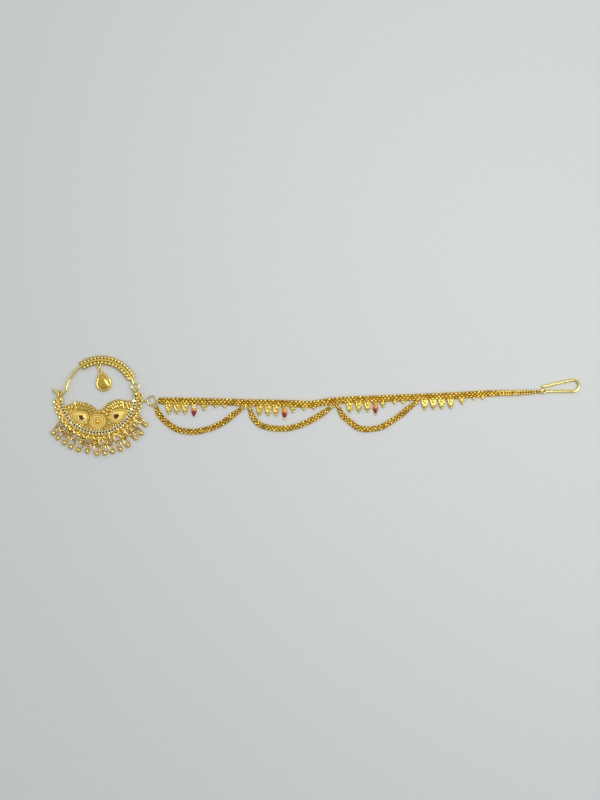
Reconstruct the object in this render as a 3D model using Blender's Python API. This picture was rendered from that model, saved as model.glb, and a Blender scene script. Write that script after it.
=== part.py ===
"""A bridal nose ring with its hair chain, lying flat: hoop, crescent, fringe, woven chain, hair hook."""

import math

import bmesh
import bpy
from mathutils import Matrix, Vector

MM = 0.001

# Clearances
SEAT_GAP = 0.12 * MM
LINK_GAP = 0.2 * MM
FLOOR_GAP = 0.03 * MM
SOLDER = 0.3 * MM

# Crescent: the centre of its arc is the centre of the layout
CRESCENT_INNER_RADIUS = 16.3 * MM
CRESCENT_HALF_SPAN = math.radians(88.5)
CRESCENT_TURN = math.radians(4.0)
CHEVRON_WIDTH = 2.1 * MM
CHEVRON_HEIGHT = 2.0 * MM
CHEVRON_VALLEY_DEPTH = 0.5 * MM
GRAIN_PAIRS = 22
GRAIN_NOTCH_DEPTH = 0.45 * MM
GRAIN_SLANT = math.radians(1.3)
GUTTER_WIDTH = 0.8 * MM
GUTTER_HEIGHT = 1.15 * MM
REBATE_WIDTH = 1.0 * MM
TERMINAL_RADIUS = 1.15 * MM

# Wire scallops soldered along the crescent's outer edge
EDGE_LOOP_COUNT = 25
EDGE_LOOP_RADIUS = 0.85 * MM
EDGE_LOOP_REACH = 1.25 * MM
EDGE_LOOP_WIRE = 0.5 * MM
EDGE_LOOP_HEIGHT = 1.3 * MM
EDGE_LOOP_MARGIN = math.radians(3.5)

# Rings at the crescent's tips, round the line that the hoop swings on
LEFT_RING_RADIUS = 1.85 * MM
LEFT_RING_WIRE = 0.7 * MM
RIGHT_RING_RADIUS = 1.3 * MM
RIGHT_RING_WIRE = 0.6 * MM

# Nose hoop
HOOP_RADIUS = 15.9 * MM
HOOP_WIRE = 1.15 * MM
HOOP_EYE_RADIUS = 1.65 * MM
HOOP_EYE_WIRE = 0.7 * MM
HOOP_EYE_ANGLE = math.radians(12.6)
HOOP_EYE_OFFSET = 0.45 * MM
HOOP_END_ANGLE = math.radians(172.0)
HOOK_TIP_REACH = 2.7 * MM
HOOK_TIP_RISE = 2.3 * MM
ROPE_WIRE = 1.65 * MM
ROPE_TWIST_LENGTH = 3.0 * MM
ROPE_GROOVE_DEPTH = 0.2 * MM
ROPE_START_ANGLE = math.radians(27.0)
ROPE_END_ANGLE = math.radians(125.0)

# Pendant inside the hoop
HANGER_ANGLE = math.radians(94.0)
HANGER_RADIUS = 0.8 * MM
HANGER_REACH = 1.15 * MM
HANGER_WIRE = 0.55 * MM
PENDANT_DIRECTION = math.radians(-75.0)
PENDANT_LINK_RADIUS = 0.75 * MM
PENDANT_LINK_WIRE = 0.45 * MM
PENDANT_EYE_RADIUS = 0.7 * MM
PENDANT_EYE_WIRE = 0.5 * MM
PENDANT_EYE_HEIGHT = 1.0 * MM
BEZEL_RADIUS = 3.65 * MM
BEZEL_LENGTH = 6.2 * MM
BEZEL_THICKNESS = 1.7 * MM
BEZEL_WALL = 0.75 * MM
BEZEL_TIP_WALL = 1.275 * MM
BEZEL_FLOOR = 0.6 * MM
PENDANT_STONE_RISE = 0.75 * MM

# Pierced plate inside the crescent
GALLERY_THICKNESS = 0.5 * MM
GALLERY_LOBE = 0.45 * MM
GALLERY_HOLE = 0.9 * MM

# Plaques on the plate
PLAQUE_RADIUS = 3.2 * MM
PLAQUE_LENGTH = 6.8 * MM
PLAQUE_HEIGHT = 0.95 * MM
PLAQUE_MARGIN = 0.35 * MM
PLAQUE_EDGE = 0.35 * MM
POCKET_DEPTH = 0.4 * MM
PLAQUE_STONE_RADIUS = 0.9 * MM
PLAQUE_STONE_LENGTH = 1.9 * MM
PLAQUE_STONE_RISE = 0.35 * MM
ROSETTE_RADIUS = 3.75 * MM
ROSETTE_STONE_RADIUS = 0.95 * MM
ROSETTE_ANGLE = math.radians(268.7)

# Fringe of rings and balls
FRINGE_RING_RADIUS = 1.15 * MM
FRINGE_RING_LENGTH = 4.0 * MM
FRINGE_RING_WIRE = 0.42 * MM
BALL_RADIUS = 1.12 * MM
BALL_EYE_RADIUS = 0.65 * MM
BALL_EYE_LENGTH = 3.2 * MM
BALL_EYE_WIRE = 0.45 * MM

# Links between the crescent and the chain
SIDE_LINK_LOOP = 23
SIDE_LINK_RADIUS = 0.75 * MM
SIDE_LINK_LENGTH = 3.9 * MM
SIDE_LINK_WIRE = 0.45 * MM
JUMP_RING_RADIUS = 2.2 * MM
JUMP_RING_WIRE = 0.6 * MM
JUMP_RING_HEIGHT = 1.0 * MM
FIRST_SWAG_ANGLE = math.radians(-52.0)

# Woven chain and its swags
CHAIN_LENGTH = 177.5 * MM
CHAIN_WIDTH = 3.0 * MM
CHAIN_THICKNESS = 1.2 * MM
CHAIN_START_SHARE = 0.65
SWAG_WIDTH = 2.5 * MM
SWAG_THICKNESS = 1.1 * MM
SWAG_END_SHARE = 0.55
SWAG_TAPER = 5.0 * MM
WEAVE_GROOVE = 0.2 * MM
CHAIN_EYE_RADIUS = 0.7 * MM
CHAIN_EYE_REACH = 1.15 * MM
CHAIN_EYE_WIRE = 0.5 * MM
CHAIN_EYE_HEIGHT = 0.9 * MM
END_LOOP_RADIUS = 0.72 * MM
END_LOOP_LENGTH = 1.7 * MM
END_LOOP_WIRE = 0.45 * MM
ENAMEL_LOOP_LENGTH = 1.35 * MM

# Drops soldered to the chain's lower edge
LEAF_RADIUS = 1.55 * MM
LEAF_LENGTH = 3.9 * MM
LEAF_THICKNESS = 0.8 * MM
TREFOIL_RADIUS = 1.15 * MM
TREFOIL_LENGTH = 2.5 * MM
BUD_RADIUS = 0.75 * MM
BUD_LENGTH = 1.3 * MM

# Enamel drops
ENAMEL_RADIUS = 1.3 * MM
ENAMEL_LENGTH = 3.0 * MM
ENAMEL_THICKNESS = 1.1 * MM

# Hair hook
HAIR_HOOK_WIRE = 1.2 * MM
HAIR_HOOK_EYE_RADIUS = 0.85 * MM
HAIR_HOOK_EYE_WIRE = 0.7 * MM
HAIR_HOOK_RUN = 12.7 * MM
HAIR_HOOK_BEND_RADIUS = 2.65 * MM
HAIR_HOOK_RETURN = 13.7 * MM
HAIR_HOOK_CLOSING = math.radians(13.0)

# Shares of the radius: how full a pear's sides are, half a leaf's knob, and the bevel of a small stone
PEAR_FULLNESS = 0.09
KNOB_SHARE = 0.34
STONE_BEVEL = 0.45

# Bend of the hoop's sprung hook, as shares of its tip's reach and rise
HOOK_BEND = [(0.6, 0.22), (0.15, 0.0), (-0.25, 0.12), (-1.0, 1.0)]

# Corners of the plate's edge: distance from the middle line and depth, as shares of the inner radius
GALLERY_EDGE = [
    (0.000, 0.455),
    (0.105, 0.405),
    (0.178, 0.330),
    (0.270, 0.265),
    (0.390, 0.210),
    (0.500, 0.185),
    (0.590, 0.180),
    (0.690, 0.215),
    (0.785, 0.230),
    (0.880, 0.245),
]

# Rows of plaques: name, angle of the centre about the crescent's centre, direction of the tip
PLAQUES = [
    ("left", math.radians(234.6), math.radians(154.5)),
    ("right", math.radians(309.4), math.radians(27.0)),
]

# Rows of fringe: edge loop, angle of the ball about the crescent's centre, roll of the ring, slack
FRINGE = [
    (4, 220.5, 36.0, 0.0 * MM),
    (5, 227.3, -50.0, 0.0 * MM),
    (6, 235.1, 48.0, 0.0 * MM),
    (7, 242.9, -24.0, 0.0 * MM),
    (9, 250.0, -50.0, 0.2 * MM),
    (10, 259.2, 46.0, 0.7 * MM),
    (11, 269.2, -30.0, 0.0 * MM),
    (12, 276.9, 50.0, 0.0 * MM),
    (13, 284.8, -48.0, 0.1 * MM),
    (15, 291.9, 50.0, 0.0 * MM),
    (16, 300.6, -44.0, 0.1 * MM),
    (17, 311.5, 30.0, 0.8 * MM),
    (18, 318.8, -50.0, 0.5 * MM),
    (20, 327.0, 46.0, 1.3 * MM),
]

# Route of the chain from the jump ring to the hair hook, as shares of its length, and how wide it is there
CHAIN_ROUTE = [
    (0.0169, 0.0000, 1.0),
    (0.1087, -0.0011, 1.0),
    (0.2124, -0.0037, 1.0),
    (0.3420, -0.0062, 1.0),
    (0.3938, -0.0090, 1.0),
    (0.4456, -0.0011, 1.0),
    (0.4975, 0.0028, 1.0),
    (0.6270, 0.0079, 1.0),
    (0.7566, 0.0130, 1.0),
    (0.8338, 0.0180, 0.95),
    (0.8845, 0.0203, 0.85),
    (0.9380, 0.0214, 0.75),
    (1.0000, 0.0248, 0.5),
]

# Rows of swags: where the ends hang along the chain, and the route as shares of the span between them
SWAGS = [
    (None, 0.2248, [
        (0.06, 0.12), (0.15, 0.21), (0.27, 0.28), (0.43, 0.30),
        (0.55, 0.28), (0.67, 0.24), (0.78, 0.18), (0.89, 0.09),
    ]),
    (0.2383, 0.4524, [
        (0.04, 0.12), (0.13, 0.22), (0.27, 0.26), (0.43, 0.27),
        (0.58, 0.24), (0.73, 0.18), (0.84, 0.12), (0.93, 0.06),
    ]),
    (0.4659, 0.6738, [
        (0.05, 0.12), (0.15, 0.22), (0.25, 0.30), (0.38, 0.32),
        (0.53, 0.30), (0.65, 0.24), (0.78, 0.16), (0.88, 0.08),
    ]),
]

# Places of the soldered drops and the enamel drops along the chain
LEAF_PLACES = [
    0.0310, 0.0518, 0.0727, 0.2654, 0.2879, 0.3082, 0.4975,
    0.5211, 0.5437, 0.6918, 0.7138, 0.7352, 0.7583,
]
TREFOIL_PLACES = [0.1217, 0.3527, 0.5837, 0.7876]
BUD_PLACES = [0.1504, 0.1746, 0.3797, 0.4045, 0.6141, 0.6361, 0.8192, 0.8423]
ENAMEL_PLACES = [0.0952, 0.3301, 0.5639]

GOLD = (0.72, 0.47, 0.12)
PALE_GOLD = (0.80, 0.60, 0.25)
DEEP_GOLD = (0.55, 0.32, 0.07)
CHAMPAGNE = (0.62, 0.43, 0.14)
DARK_RED = (0.12, 0.005, 0.005)
ORANGE = (0.75, 0.25, 0.03)
RED_ENAMEL = (0.40, 0.04, 0.01)

bandOuterRadius = CRESCENT_INNER_RADIUS + CHEVRON_WIDTH + GUTTER_WIDTH
edgeHoleRadius = bandOuterRadius + (EDGE_LOOP_REACH - EDGE_LOOP_WIRE / 2) / 2


def clear_scene():
    for thing in list(bpy.data.objects):
        bpy.data.objects.remove(thing)


def make_collection(name):
    collection = bpy.data.collections.new(name)
    bpy.context.scene.collection.children.link(collection)
    return collection


def make_material(name, color, metallic, roughness):
    material = bpy.data.materials.new(name)
    material.use_nodes = True
    shader = material.node_tree.nodes["Principled BSDF"]
    shader.inputs["Base Color"].default_value = (*color, 1.0)
    shader.inputs["Metallic"].default_value = metallic
    shader.inputs["Roughness"].default_value = roughness
    return material


def polar(radius, angle, height=0.0):
    return Vector((radius * math.cos(angle), radius * math.sin(angle), height))


def object_from_mesh(name, mesh):
    thing = bpy.data.objects.new(name, mesh)
    work.objects.link(thing)
    return thing


def loft(name, sections, closed=False):
    """A solid through sections that each have as many points, in order round the solid's way."""
    mesh = bmesh.new()
    rings = [[mesh.verts.new(point) for point in section] for section in sections]
    count = len(rings[0])
    pairs = list(zip(rings, rings[1:]))
    if closed:
        pairs.append((rings[-1], rings[0]))
    for ring, after in pairs:
        for i in range(count):
            j = (i + 1) % count
            mesh.faces.new((ring[i], ring[j], after[j], after[i]))
    if not closed:
        mesh.faces.new(rings[0][::-1])
        mesh.faces.new(rings[-1])
    bmesh.ops.recalc_face_normals(mesh, faces=mesh.faces)
    data = bpy.data.meshes.new(name)
    mesh.to_mesh(data)
    mesh.free()
    return object_from_mesh(name, data)


def settle(thing):
    """Replace the object's mesh by its evaluated one, in world space, with welded points."""
    bpy.context.view_layer.update()
    evaluated = thing.evaluated_get(bpy.context.evaluated_depsgraph_get())
    data = bpy.data.meshes.new_from_object(evaluated)
    data.transform(thing.matrix_world)
    mesh = bmesh.new()
    mesh.from_mesh(data)
    bmesh.ops.remove_doubles(mesh, verts=mesh.verts, dist=0.0005 * MM)
    bmesh.ops.dissolve_degenerate(mesh, edges=mesh.edges, dist=0.0005 * MM)
    mesh.to_mesh(data)
    mesh.free()
    name = thing.name
    bpy.data.objects.remove(thing)
    return object_from_mesh(name, data)


def merged(name, pieces):
    """One mesh of several pieces that don't touch each other."""
    mesh = bmesh.new()
    for piece in pieces:
        mesh.from_mesh(piece.data)
        bpy.data.objects.remove(piece)
    data = bpy.data.meshes.new(name)
    mesh.to_mesh(data)
    mesh.free()
    return object_from_mesh(name, data)


def combine(base, pieces, operation):
    name = base.name
    for piece in pieces:
        boolean = base.modifiers.new(piece.name, "BOOLEAN")
        boolean.operation = operation
        boolean.object = piece
    base = settle(base)
    base.name = name
    for piece in pieces:
        bpy.data.objects.remove(piece)
    return base


def fuse(base, pieces):
    return combine(base, pieces, "UNION")


def cut(base, pieces):
    return combine(base, pieces, "DIFFERENCE")


def place(thing, position, direction, side):
    """Set a piece with its long axis X along direction and its Y towards side, then bake it in."""
    x = direction.normalized()
    z = x.cross(side).normalized()
    y = z.cross(x)
    turn = Matrix((x, y, z)).transposed().to_4x4()
    thing.data.transform(Matrix.Translation(position) @ turn)
    return thing


def add_link(name, radius, wire, length, segments=10, sides=5):
    """A round or stretched wire ring in the XY plane: length is measured between its end wires."""
    bpy.ops.mesh.primitive_torus_add(
        major_radius=radius, minor_radius=wire / 2, major_segments=segments, minor_segments=sides
    )
    thing = bpy.context.object
    thing.name = name
    stretch = length / 2 - radius
    for vertex in thing.data.vertices:
        vertex.co.x += math.copysign(stretch, vertex.co.x)
    for collection in thing.users_collection:
        collection.objects.unlink(thing)
    work.objects.link(thing)
    return thing


def add_ring(name, radius, wire, segments=10, sides=5):
    return add_link(name, radius, wire, 2 * radius, segments, sides)


def add_arch(name, radius, reach, wire):
    """A bent wire in the XY plane: its feet are soldered in at the origin and its top reaches along X."""
    bends = 5
    middle = [Vector((-SOLDER, -radius, 0)), Vector((reach - radius, -radius, 0))]
    for i in range(1, bends):
        middle.append(Vector((reach - radius, 0, 0)) + polar(radius, -math.pi / 2 + math.pi * i / bends))
    middle += [Vector((reach - radius, radius, 0)), Vector((-SOLDER, radius, 0))]
    sides = 5
    sections = []
    for i, point in enumerate(middle):
        ahead = (middle[min(i + 1, len(middle) - 1)] - middle[max(i - 1, 0)]).normalized()
        aside = Vector((-ahead.y, ahead.x, 0)) * wire / 2
        up = Vector((0, 0, wire / 2))
        turns = [2 * math.pi * k / sides for k in range(sides)]
        sections.append([point + aside * math.cos(turn) + up * math.sin(turn) for turn in turns])
    return loft(name, sections)


def add_ball(name, radius, position, segments=10, rings=4):
    bpy.ops.mesh.primitive_uv_sphere_add(segments=segments, ring_count=rings, radius=radius)
    thing = bpy.context.object
    thing.name = name
    thing.data.transform(Matrix.Translation(position))
    for collection in thing.users_collection:
        collection.objects.unlink(thing)
    work.objects.link(thing)
    return thing


def add_wire(name, points, wire, resolution=1):
    """A round wire along the points, with filled ends."""
    curve = bpy.data.curves.new(name, "CURVE")
    curve.dimensions = "3D"
    curve.bevel_depth = wire / 2
    curve.bevel_resolution = resolution
    curve.use_fill_caps = True
    spline = curve.splines.new("POLY")
    spline.points.add(len(points) - 1)
    for target, point in zip(spline.points, points):
        target.co = (*point, 1.0)
    return settle(object_from_mesh(name, curve))


def add_band(name, points, shares, width, thickness):
    """A flat woven band with a groove between its two rows, along points in the plane."""
    sections = []
    for i, point in enumerate(points):
        ahead = (points[min(i + 1, len(points) - 1)] - points[max(i - 1, 0)]).normalized()
        aside = Vector((-ahead.y, ahead.x, 0.0))
        half = width / 2 * shares[i]
        top = thickness * (0.5 + shares[i] / 2)
        outline = [
            (-half * 0.8, 0.0),
            (half * 0.8, 0.0),
            (half, top * 0.5),
            (half * 0.5, top),
            (0.0, top - WEAVE_GROOVE),
            (-half * 0.5, top),
            (-half, top * 0.5),
        ]
        sections.append([point + aside * x + Vector((0, 0, FLOOR_GAP + z)) for x, z in outline])
    return loft(name, sections)


def smooth_route(points, steps):
    """Points of a curve through the given ones, with steps between each two."""
    padded = [points[0] * 2 - points[1], *points, points[-1] * 2 - points[-2]]
    route = []
    for a, b, c, d in zip(padded, padded[1:], padded[2:], padded[3:]):
        for step in range(steps):
            t = step / steps
            route.append(
                (b * 2 + (c - a) * t + (a * 2 - b * 5 + c * 4 - d) * t ** 2
                 + (b * 3 - a - c * 3 + d) * t ** 3) / 2
            )
    route.append(points[-1].copy())
    return route


def pear_outline(radius, length, count):
    """A round end about the origin and a tip at +X, joined by full sides."""
    meeting = math.acos(radius / length)
    sweep = 2 * (math.pi - meeting)
    steps = count - 4
    outline = [polar(radius, meeting + sweep * i / steps) for i in range(steps + 1)]
    tip = Vector((length, 0.0, 0.0))
    fullness = Vector((0, radius * PEAR_FULLNESS, 0))
    return outline + [outline[-1].lerp(tip, 0.5) - fullness, tip, outline[0].lerp(tip, 0.5) + fullness]


def leaf_outline(radius, length, count):
    """A round leaf about the origin that ends in a small knob at +X."""
    meeting = math.radians(55)
    sweep = 2 * (math.pi - meeting)
    steps = count - 4
    outline = [polar(radius, meeting + sweep * i / steps) for i in range(steps + 1)]
    knob = radius * KNOB_SHARE
    neck = (length + radius) * 0.4
    return outline + [Vector((neck, -knob, 0)), Vector((length, -knob, 0)),
                      Vector((length, knob, 0)), Vector((neck, knob, 0))]


def pear_solid(name, radius, length, count, levels, outlined=pear_outline):
    """A pear through levels: each has a height and how far its outline is drawn in."""
    sections = []
    for height, inset in levels:
        outline = outlined(radius - inset, length * (radius - inset) / radius, count)
        sections.append([point + Vector((0, 0, height)) for point in outline])
    return loft(name, sections)


def disc_solid(name, radius, count, levels):
    sections = []
    for height, inset in levels:
        sections.append([polar(radius - inset, 2 * math.pi * i / count, height) for i in range(count)])
    return loft(name, sections)


def set_down(thing, position, direction=Vector((1, 0, 0))):
    """Place a piece whose Z stays up."""
    side = Vector((-direction.y, direction.x, 0.0))
    return place(thing, position, direction, side)


def node(thing, name, material):
    """Hand a finished piece over to the part's collection."""
    thing.name = name
    thing.data.name = name
    thing.data.materials.clear()
    thing.data.materials.append(material)
    thing.data.shade_smooth()
    thing.data.set_sharp_from_angle(angle=math.radians(35))
    work.objects.unlink(thing)
    nath.objects.link(thing)
    thing.parent = root
    return thing


def edge_loop_angle(index):
    first = 1.5 * math.pi - CRESCENT_HALF_SPAN + CRESCENT_TURN + EDGE_LOOP_MARGIN
    last = 1.5 * math.pi + CRESCENT_HALF_SPAN + CRESCENT_TURN - EDGE_LOOP_MARGIN
    return first + (last - first) * index / (EDGE_LOOP_COUNT - 1)


def crescent_tip(side):
    """Middle of the chevron at one end of the crescent, and the direction in which the arc would run on."""
    angle = 1.5 * math.pi + side * CRESCENT_HALF_SPAN + CRESCENT_TURN
    onward = Vector((-math.sin(angle), math.cos(angle), 0.0)) * side
    return polar(CRESCENT_INNER_RADIUS + CHEVRON_WIDTH / 2, angle), onward


def build_crescent():
    seat = GALLERY_THICKNESS + SEAT_GAP
    valley = CHEVRON_HEIGHT - CHEVRON_VALLEY_DEPTH
    stations = 2 * GRAIN_PAIRS
    sections = []
    for i in range(stations + 1):
        share = i / stations
        angle = 1.5 * math.pi + CRESCENT_TURN + CRESCENT_HALF_SPAN * (2 * share - 1)
        crest = CHEVRON_HEIGHT - GRAIN_NOTCH_DEPTH * (i % 2)
        slant = GRAIN_SLANT if 0 < i < stations else 0.0
        outline = [
            (0.0, seat, slant),
            (0.0, crest * 0.75, slant),
            (CHEVRON_WIDTH * 0.22, crest, slant / 2),
            (CHEVRON_WIDTH * 0.5, valley, 0.0),
            (CHEVRON_WIDTH * 0.78, crest, slant / 2),
            (CHEVRON_WIDTH, GUTTER_HEIGHT, slant),
            (CHEVRON_WIDTH + GUTTER_WIDTH, GUTTER_HEIGHT, 0.0),
            (CHEVRON_WIDTH + GUTTER_WIDTH, 0.0, 0.0),
            (REBATE_WIDTH, 0.0, 0.0),
            (REBATE_WIDTH, seat, 0.0),
        ]
        sections.append([polar(CRESCENT_INNER_RADIUS + r, angle + lead, z) for r, z, lead in outline])
    band = loft("crescent", sections)

    loops = []
    for i in range(EDGE_LOOP_COUNT):
        loop = add_arch("edge_loop", EDGE_LOOP_RADIUS, EDGE_LOOP_REACH, EDGE_LOOP_WIRE)
        angle = edge_loop_angle(i)
        set_down(loop, polar(bandOuterRadius, angle, EDGE_LOOP_HEIGHT), polar(1, angle))
        loops.append(loop)

    terminals = []
    for side in (-1, 1):
        tip, onward = crescent_tip(side)
        centre = tip - onward * TERMINAL_RADIUS * 0.3
        terminals.append(add_ball("terminal", TERMINAL_RADIUS, centre + Vector((0, 0, TERMINAL_RADIUS))))

    left = add_ring("left_ring", LEFT_RING_RADIUS, LEFT_RING_WIRE, 12, 6)
    place(left, hingeLeft, Vector((0, 0, 1)), swingAxis.cross(Vector((0, 0, 1))))
    right = add_ring("right_ring", RIGHT_RING_RADIUS, RIGHT_RING_WIRE, 12, 6)
    place(right, hingeRight, Vector((0, 0, 1)), swingAxis.cross(Vector((0, 0, 1))))
    tipRings = merged("tip_rings", [left, right])
    pieces = [merged("edge_loops", loops), merged("terminals", terminals), tipRings]
    node(fuse(band, pieces), "crescent", gold)


def build_roped_band():
    """The stretch of the hoop where a twisted rope is soldered along each side of the wire."""
    length = HOOP_RADIUS * (ROPE_END_ANGLE - ROPE_START_ANGLE)
    stations = round(4.5 * length / ROPE_TWIST_LENGTH)
    around = [math.radians(angle) for angle in (-100, -33, 33, 100)]
    rise = HOOP_WIRE / 2 + FLOOR_GAP
    sections = []
    for i in range(stations + 1):
        along = length * i / stations
        turn = 2 * math.pi * along / ROPE_TWIST_LENGTH
        outline = []
        for side in (1, -1):
            for angle in around:
                reach = ROPE_WIRE / 2 - ROPE_GROOVE_DEPTH * math.sin(side * angle - turn) ** 2
                out = ropeOffset + reach * math.cos(angle)
                outline.append((side * out, side * reach * math.sin(angle)))
            outline += [(side * HOOP_WIRE * 0.2, side * rise), (-side * HOOP_WIRE * 0.2, side * rise)]
        angle = ROPE_START_ANGLE + along / HOOP_RADIUS
        sections.append([hoopCentre + polar(HOOP_RADIUS + out, angle, up) for out, up in outline])
    return loft("roped_band", sections)


def hoop_arc(first, last, steps):
    return [hoopCentre + polar(HOOP_RADIUS, first + (last - first) * i / steps) for i in range(steps + 1)]


def build_hoop():
    """The roped band, with plain wire on to the eye at its right and to the sprung hook at its left."""
    buried = SOLDER / HOOP_RADIUS * 3
    hooked = hoop_arc(ROPE_END_ANGLE - buried, HOOP_END_ANGLE, 9)
    bend = [hingeLeft + Vector((HOOK_TIP_REACH * x, HOOK_TIP_RISE * y, 0)) for x, y in HOOK_BEND]
    hook = add_wire("hook", hooked + smooth_route([hooked[-1], *bend], 3)[1:], HOOP_WIRE, 2)
    eyeEnd = HOOP_EYE_ANGLE + HOOP_EYE_RADIUS / HOOP_RADIUS
    neck = add_wire("neck", hoop_arc(eyeEnd, ROPE_START_ANGLE + buried, 3), HOOP_WIRE, 2)
    eye = add_ring("hoop_eye", HOOP_EYE_RADIUS, HOOP_EYE_WIRE, 12, 6)
    set_down(eye, hoopEye)
    hanger = add_arch("hanger", HANGER_RADIUS, HANGER_REACH, HANGER_WIRE)
    set_down(hanger, hoopCentre + polar(ropeInner, HANGER_ANGLE), -polar(1, HANGER_ANGLE))
    band = build_roped_band()
    band.name = "nose_hoop"
    hoop = fuse(band, [merged("hook_and_neck", [hook, neck]), eye, hanger])
    return node(hoop, "nose_hoop", gold)


def build_pendant():
    """The link, the bezel and the stone, laid on the floor under the tilted hoop."""
    along = polar(1, PENDANT_DIRECTION)
    hung = tilt @ hangPoint
    eyeCentre = Vector((hung.x, hung.y, 0)) + along * pendantLinkLength
    eyeCentre.z = PENDANT_EYE_HEIGHT
    link = add_link("pendant_link", PENDANT_LINK_RADIUS, PENDANT_LINK_WIRE, pendantLinkLength)
    place(link, (hung + eyeCentre) / 2, eyeCentre - hung, Vector((0, 0, 1)))
    node(link, "pendant_link", gold)

    centre = eyeCentre + along * (PENDANT_EYE_RADIUS - PENDANT_EYE_WIRE / 2 - SOLDER + BEZEL_LENGTH)
    centre.z = FLOOR_GAP
    levels = [(0.0, 0.15 * BEZEL_WALL), (BEZEL_THICKNESS, 0.0)]
    bezel = pear_solid("pendant_bezel", BEZEL_RADIUS, BEZEL_LENGTH, 16, levels)
    pocket = pear_solid("pocket", BEZEL_RADIUS - BEZEL_WALL, BEZEL_LENGTH - BEZEL_TIP_WALL, 16,
                        [(BEZEL_FLOOR, 0.0), (BEZEL_THICKNESS * 1.5, 0.0)])
    bezel = cut(bezel, [pocket])
    set_down(bezel, centre, -along)
    eye = add_ring("pendant_eye", PENDANT_EYE_RADIUS, PENDANT_EYE_WIRE)
    set_down(eye, eyeCentre, along)
    node(fuse(bezel, [eye]), "pendant_bezel", pale_gold)

    girdle = BEZEL_THICKNESS - BEZEL_FLOOR - SEAT_GAP
    levels = [
        (0.0, 0.5 * BEZEL_WALL),
        (girdle, 0.0),
        (girdle + PENDANT_STONE_RISE * 0.6, 0.9 * BEZEL_WALL),
        (girdle + PENDANT_STONE_RISE, 1.8 * BEZEL_WALL),
    ]
    stone = pear_solid("pendant_stone", BEZEL_RADIUS - BEZEL_WALL - SEAT_GAP,
                       BEZEL_LENGTH - BEZEL_TIP_WALL - 2 * SEAT_GAP, 14, levels)
    set_down(stone, centre + Vector((0, 0, BEZEL_FLOOR + SEAT_GAP)), -along)
    node(stone, "pendant_stone", champagne)


def gallery_outline():
    """The plate's outline, mirrored about the crescent's middle line: a lobed edge and the seated arc."""
    seated = CRESCENT_INNER_RADIUS + REBATE_WIDTH - SEAT_GAP
    half = []
    corners = [Vector((x, -y, 0)) * CRESCENT_INNER_RADIUS for x, y in GALLERY_EDGE]
    for corner, after in zip(corners, corners[1:]):
        outward = Vector((corner.y - after.y, after.x - corner.x, 0)).normalized()
        half.append(corner)
        half.append(corner.lerp(after, 0.3) + outward * GALLERY_LOBE * 0.85)
        half.append(corner.lerp(after, 0.7) + outward * GALLERY_LOBE * 0.85)
    half.append(corners[-1])
    lastAngle = math.asin(corners[-1].y / seated)
    steps = 11
    arc = [polar(seated, lastAngle + (-math.pi / 2 - lastAngle) * i / steps) for i in range(steps + 1)]
    right = half + arc
    left = [Vector((-point.x, point.y, 0)) for point in reversed(right[1:-1])]
    return right + left


def build_gallery():
    turn = Matrix.Rotation(CRESCENT_TURN, 4, "Z")
    outline = gallery_outline()
    bottom = [turn @ point + Vector((0, 0, FLOOR_GAP)) for point in outline]
    top = [turn @ point + Vector((0, 0, GALLERY_THICKNESS)) for point in outline]
    plate = loft("gallery", [bottom, top])
    holes = []
    corners = [Vector((x, -y, 0)) * CRESCENT_INNER_RADIUS for x, y in GALLERY_EDGE]
    for side in (-1, 1):
        for corner, after in zip(corners[1:], corners[2:]):
            middle = (corner + after) / 2
            inward = Vector((after.y - corner.y, corner.x - after.x, 0)).normalized()
            spot = middle + inward * GALLERY_HOLE * 1.1
            hole = disc_solid("hole", GALLERY_HOLE / 2, 6, [(-MM, 0.0), (MM, 0.0)])
            holes.append(set_down(hole, turn @ Vector((side * spot.x, spot.y, 0))))
    node(cut(plate, [merged("holes", holes)]), "gallery", gold)


def build_plaques():
    base = GALLERY_THICKNESS + SEAT_GAP
    levels = [(0.0, 0.0), (PLAQUE_HEIGHT - PLAQUE_EDGE, 0.0), (PLAQUE_HEIGHT, PLAQUE_EDGE)]
    floor = PLAQUE_HEIGHT - POCKET_DEPTH
    pocketLevels = [(floor, 0.0), (PLAQUE_HEIGHT * 1.5, 0.0)]
    top = POCKET_DEPTH + PLAQUE_STONE_RISE
    for side, angle, direction in PLAQUES:
        centre = polar(CRESCENT_INNER_RADIUS - PLAQUE_MARGIN - PLAQUE_RADIUS, angle, base)
        toward = polar(1, direction)
        plaque = pear_solid("plaque", PLAQUE_RADIUS, PLAQUE_LENGTH, 16, levels)
        pocket = pear_solid("pocket", PLAQUE_STONE_RADIUS + SEAT_GAP, PLAQUE_STONE_LENGTH + 2 * SEAT_GAP,
                            12, pocketLevels)
        plaque = cut(plaque, [pocket])
        node(set_down(plaque, centre, toward), "plaque_" + side, pale_gold)
        crown = [(0.0, 0.0), (POCKET_DEPTH, 0.0), (top, STONE_BEVEL * PLAQUE_STONE_RADIUS)]
        stone = pear_solid("stone", PLAQUE_STONE_RADIUS, PLAQUE_STONE_LENGTH, 12, crown)
        set_down(stone, centre + Vector((0, 0, floor + SEAT_GAP)), toward)
        node(stone, "plaque_stone_" + side, dark_red)

    centre = polar(CRESCENT_INNER_RADIUS - PLAQUE_MARGIN - ROSETTE_RADIUS, ROSETTE_ANGLE, base)
    rosette = disc_solid("rosette", ROSETTE_RADIUS, 20, levels)
    pocket = disc_solid("pocket", ROSETTE_STONE_RADIUS + SEAT_GAP, 12, pocketLevels)
    rosette = cut(rosette, [pocket])
    node(set_down(rosette, centre), "rosette", pale_gold)
    crown = [(0.0, 0.0), (POCKET_DEPTH, 0.0), (top, STONE_BEVEL * ROSETTE_STONE_RADIUS)]
    stone = disc_solid("rosette_stone", ROSETTE_STONE_RADIUS, 12, crown)
    set_down(stone, centre + Vector((0, 0, floor + SEAT_GAP)))
    node(stone, "rosette_stone", orange)


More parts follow.
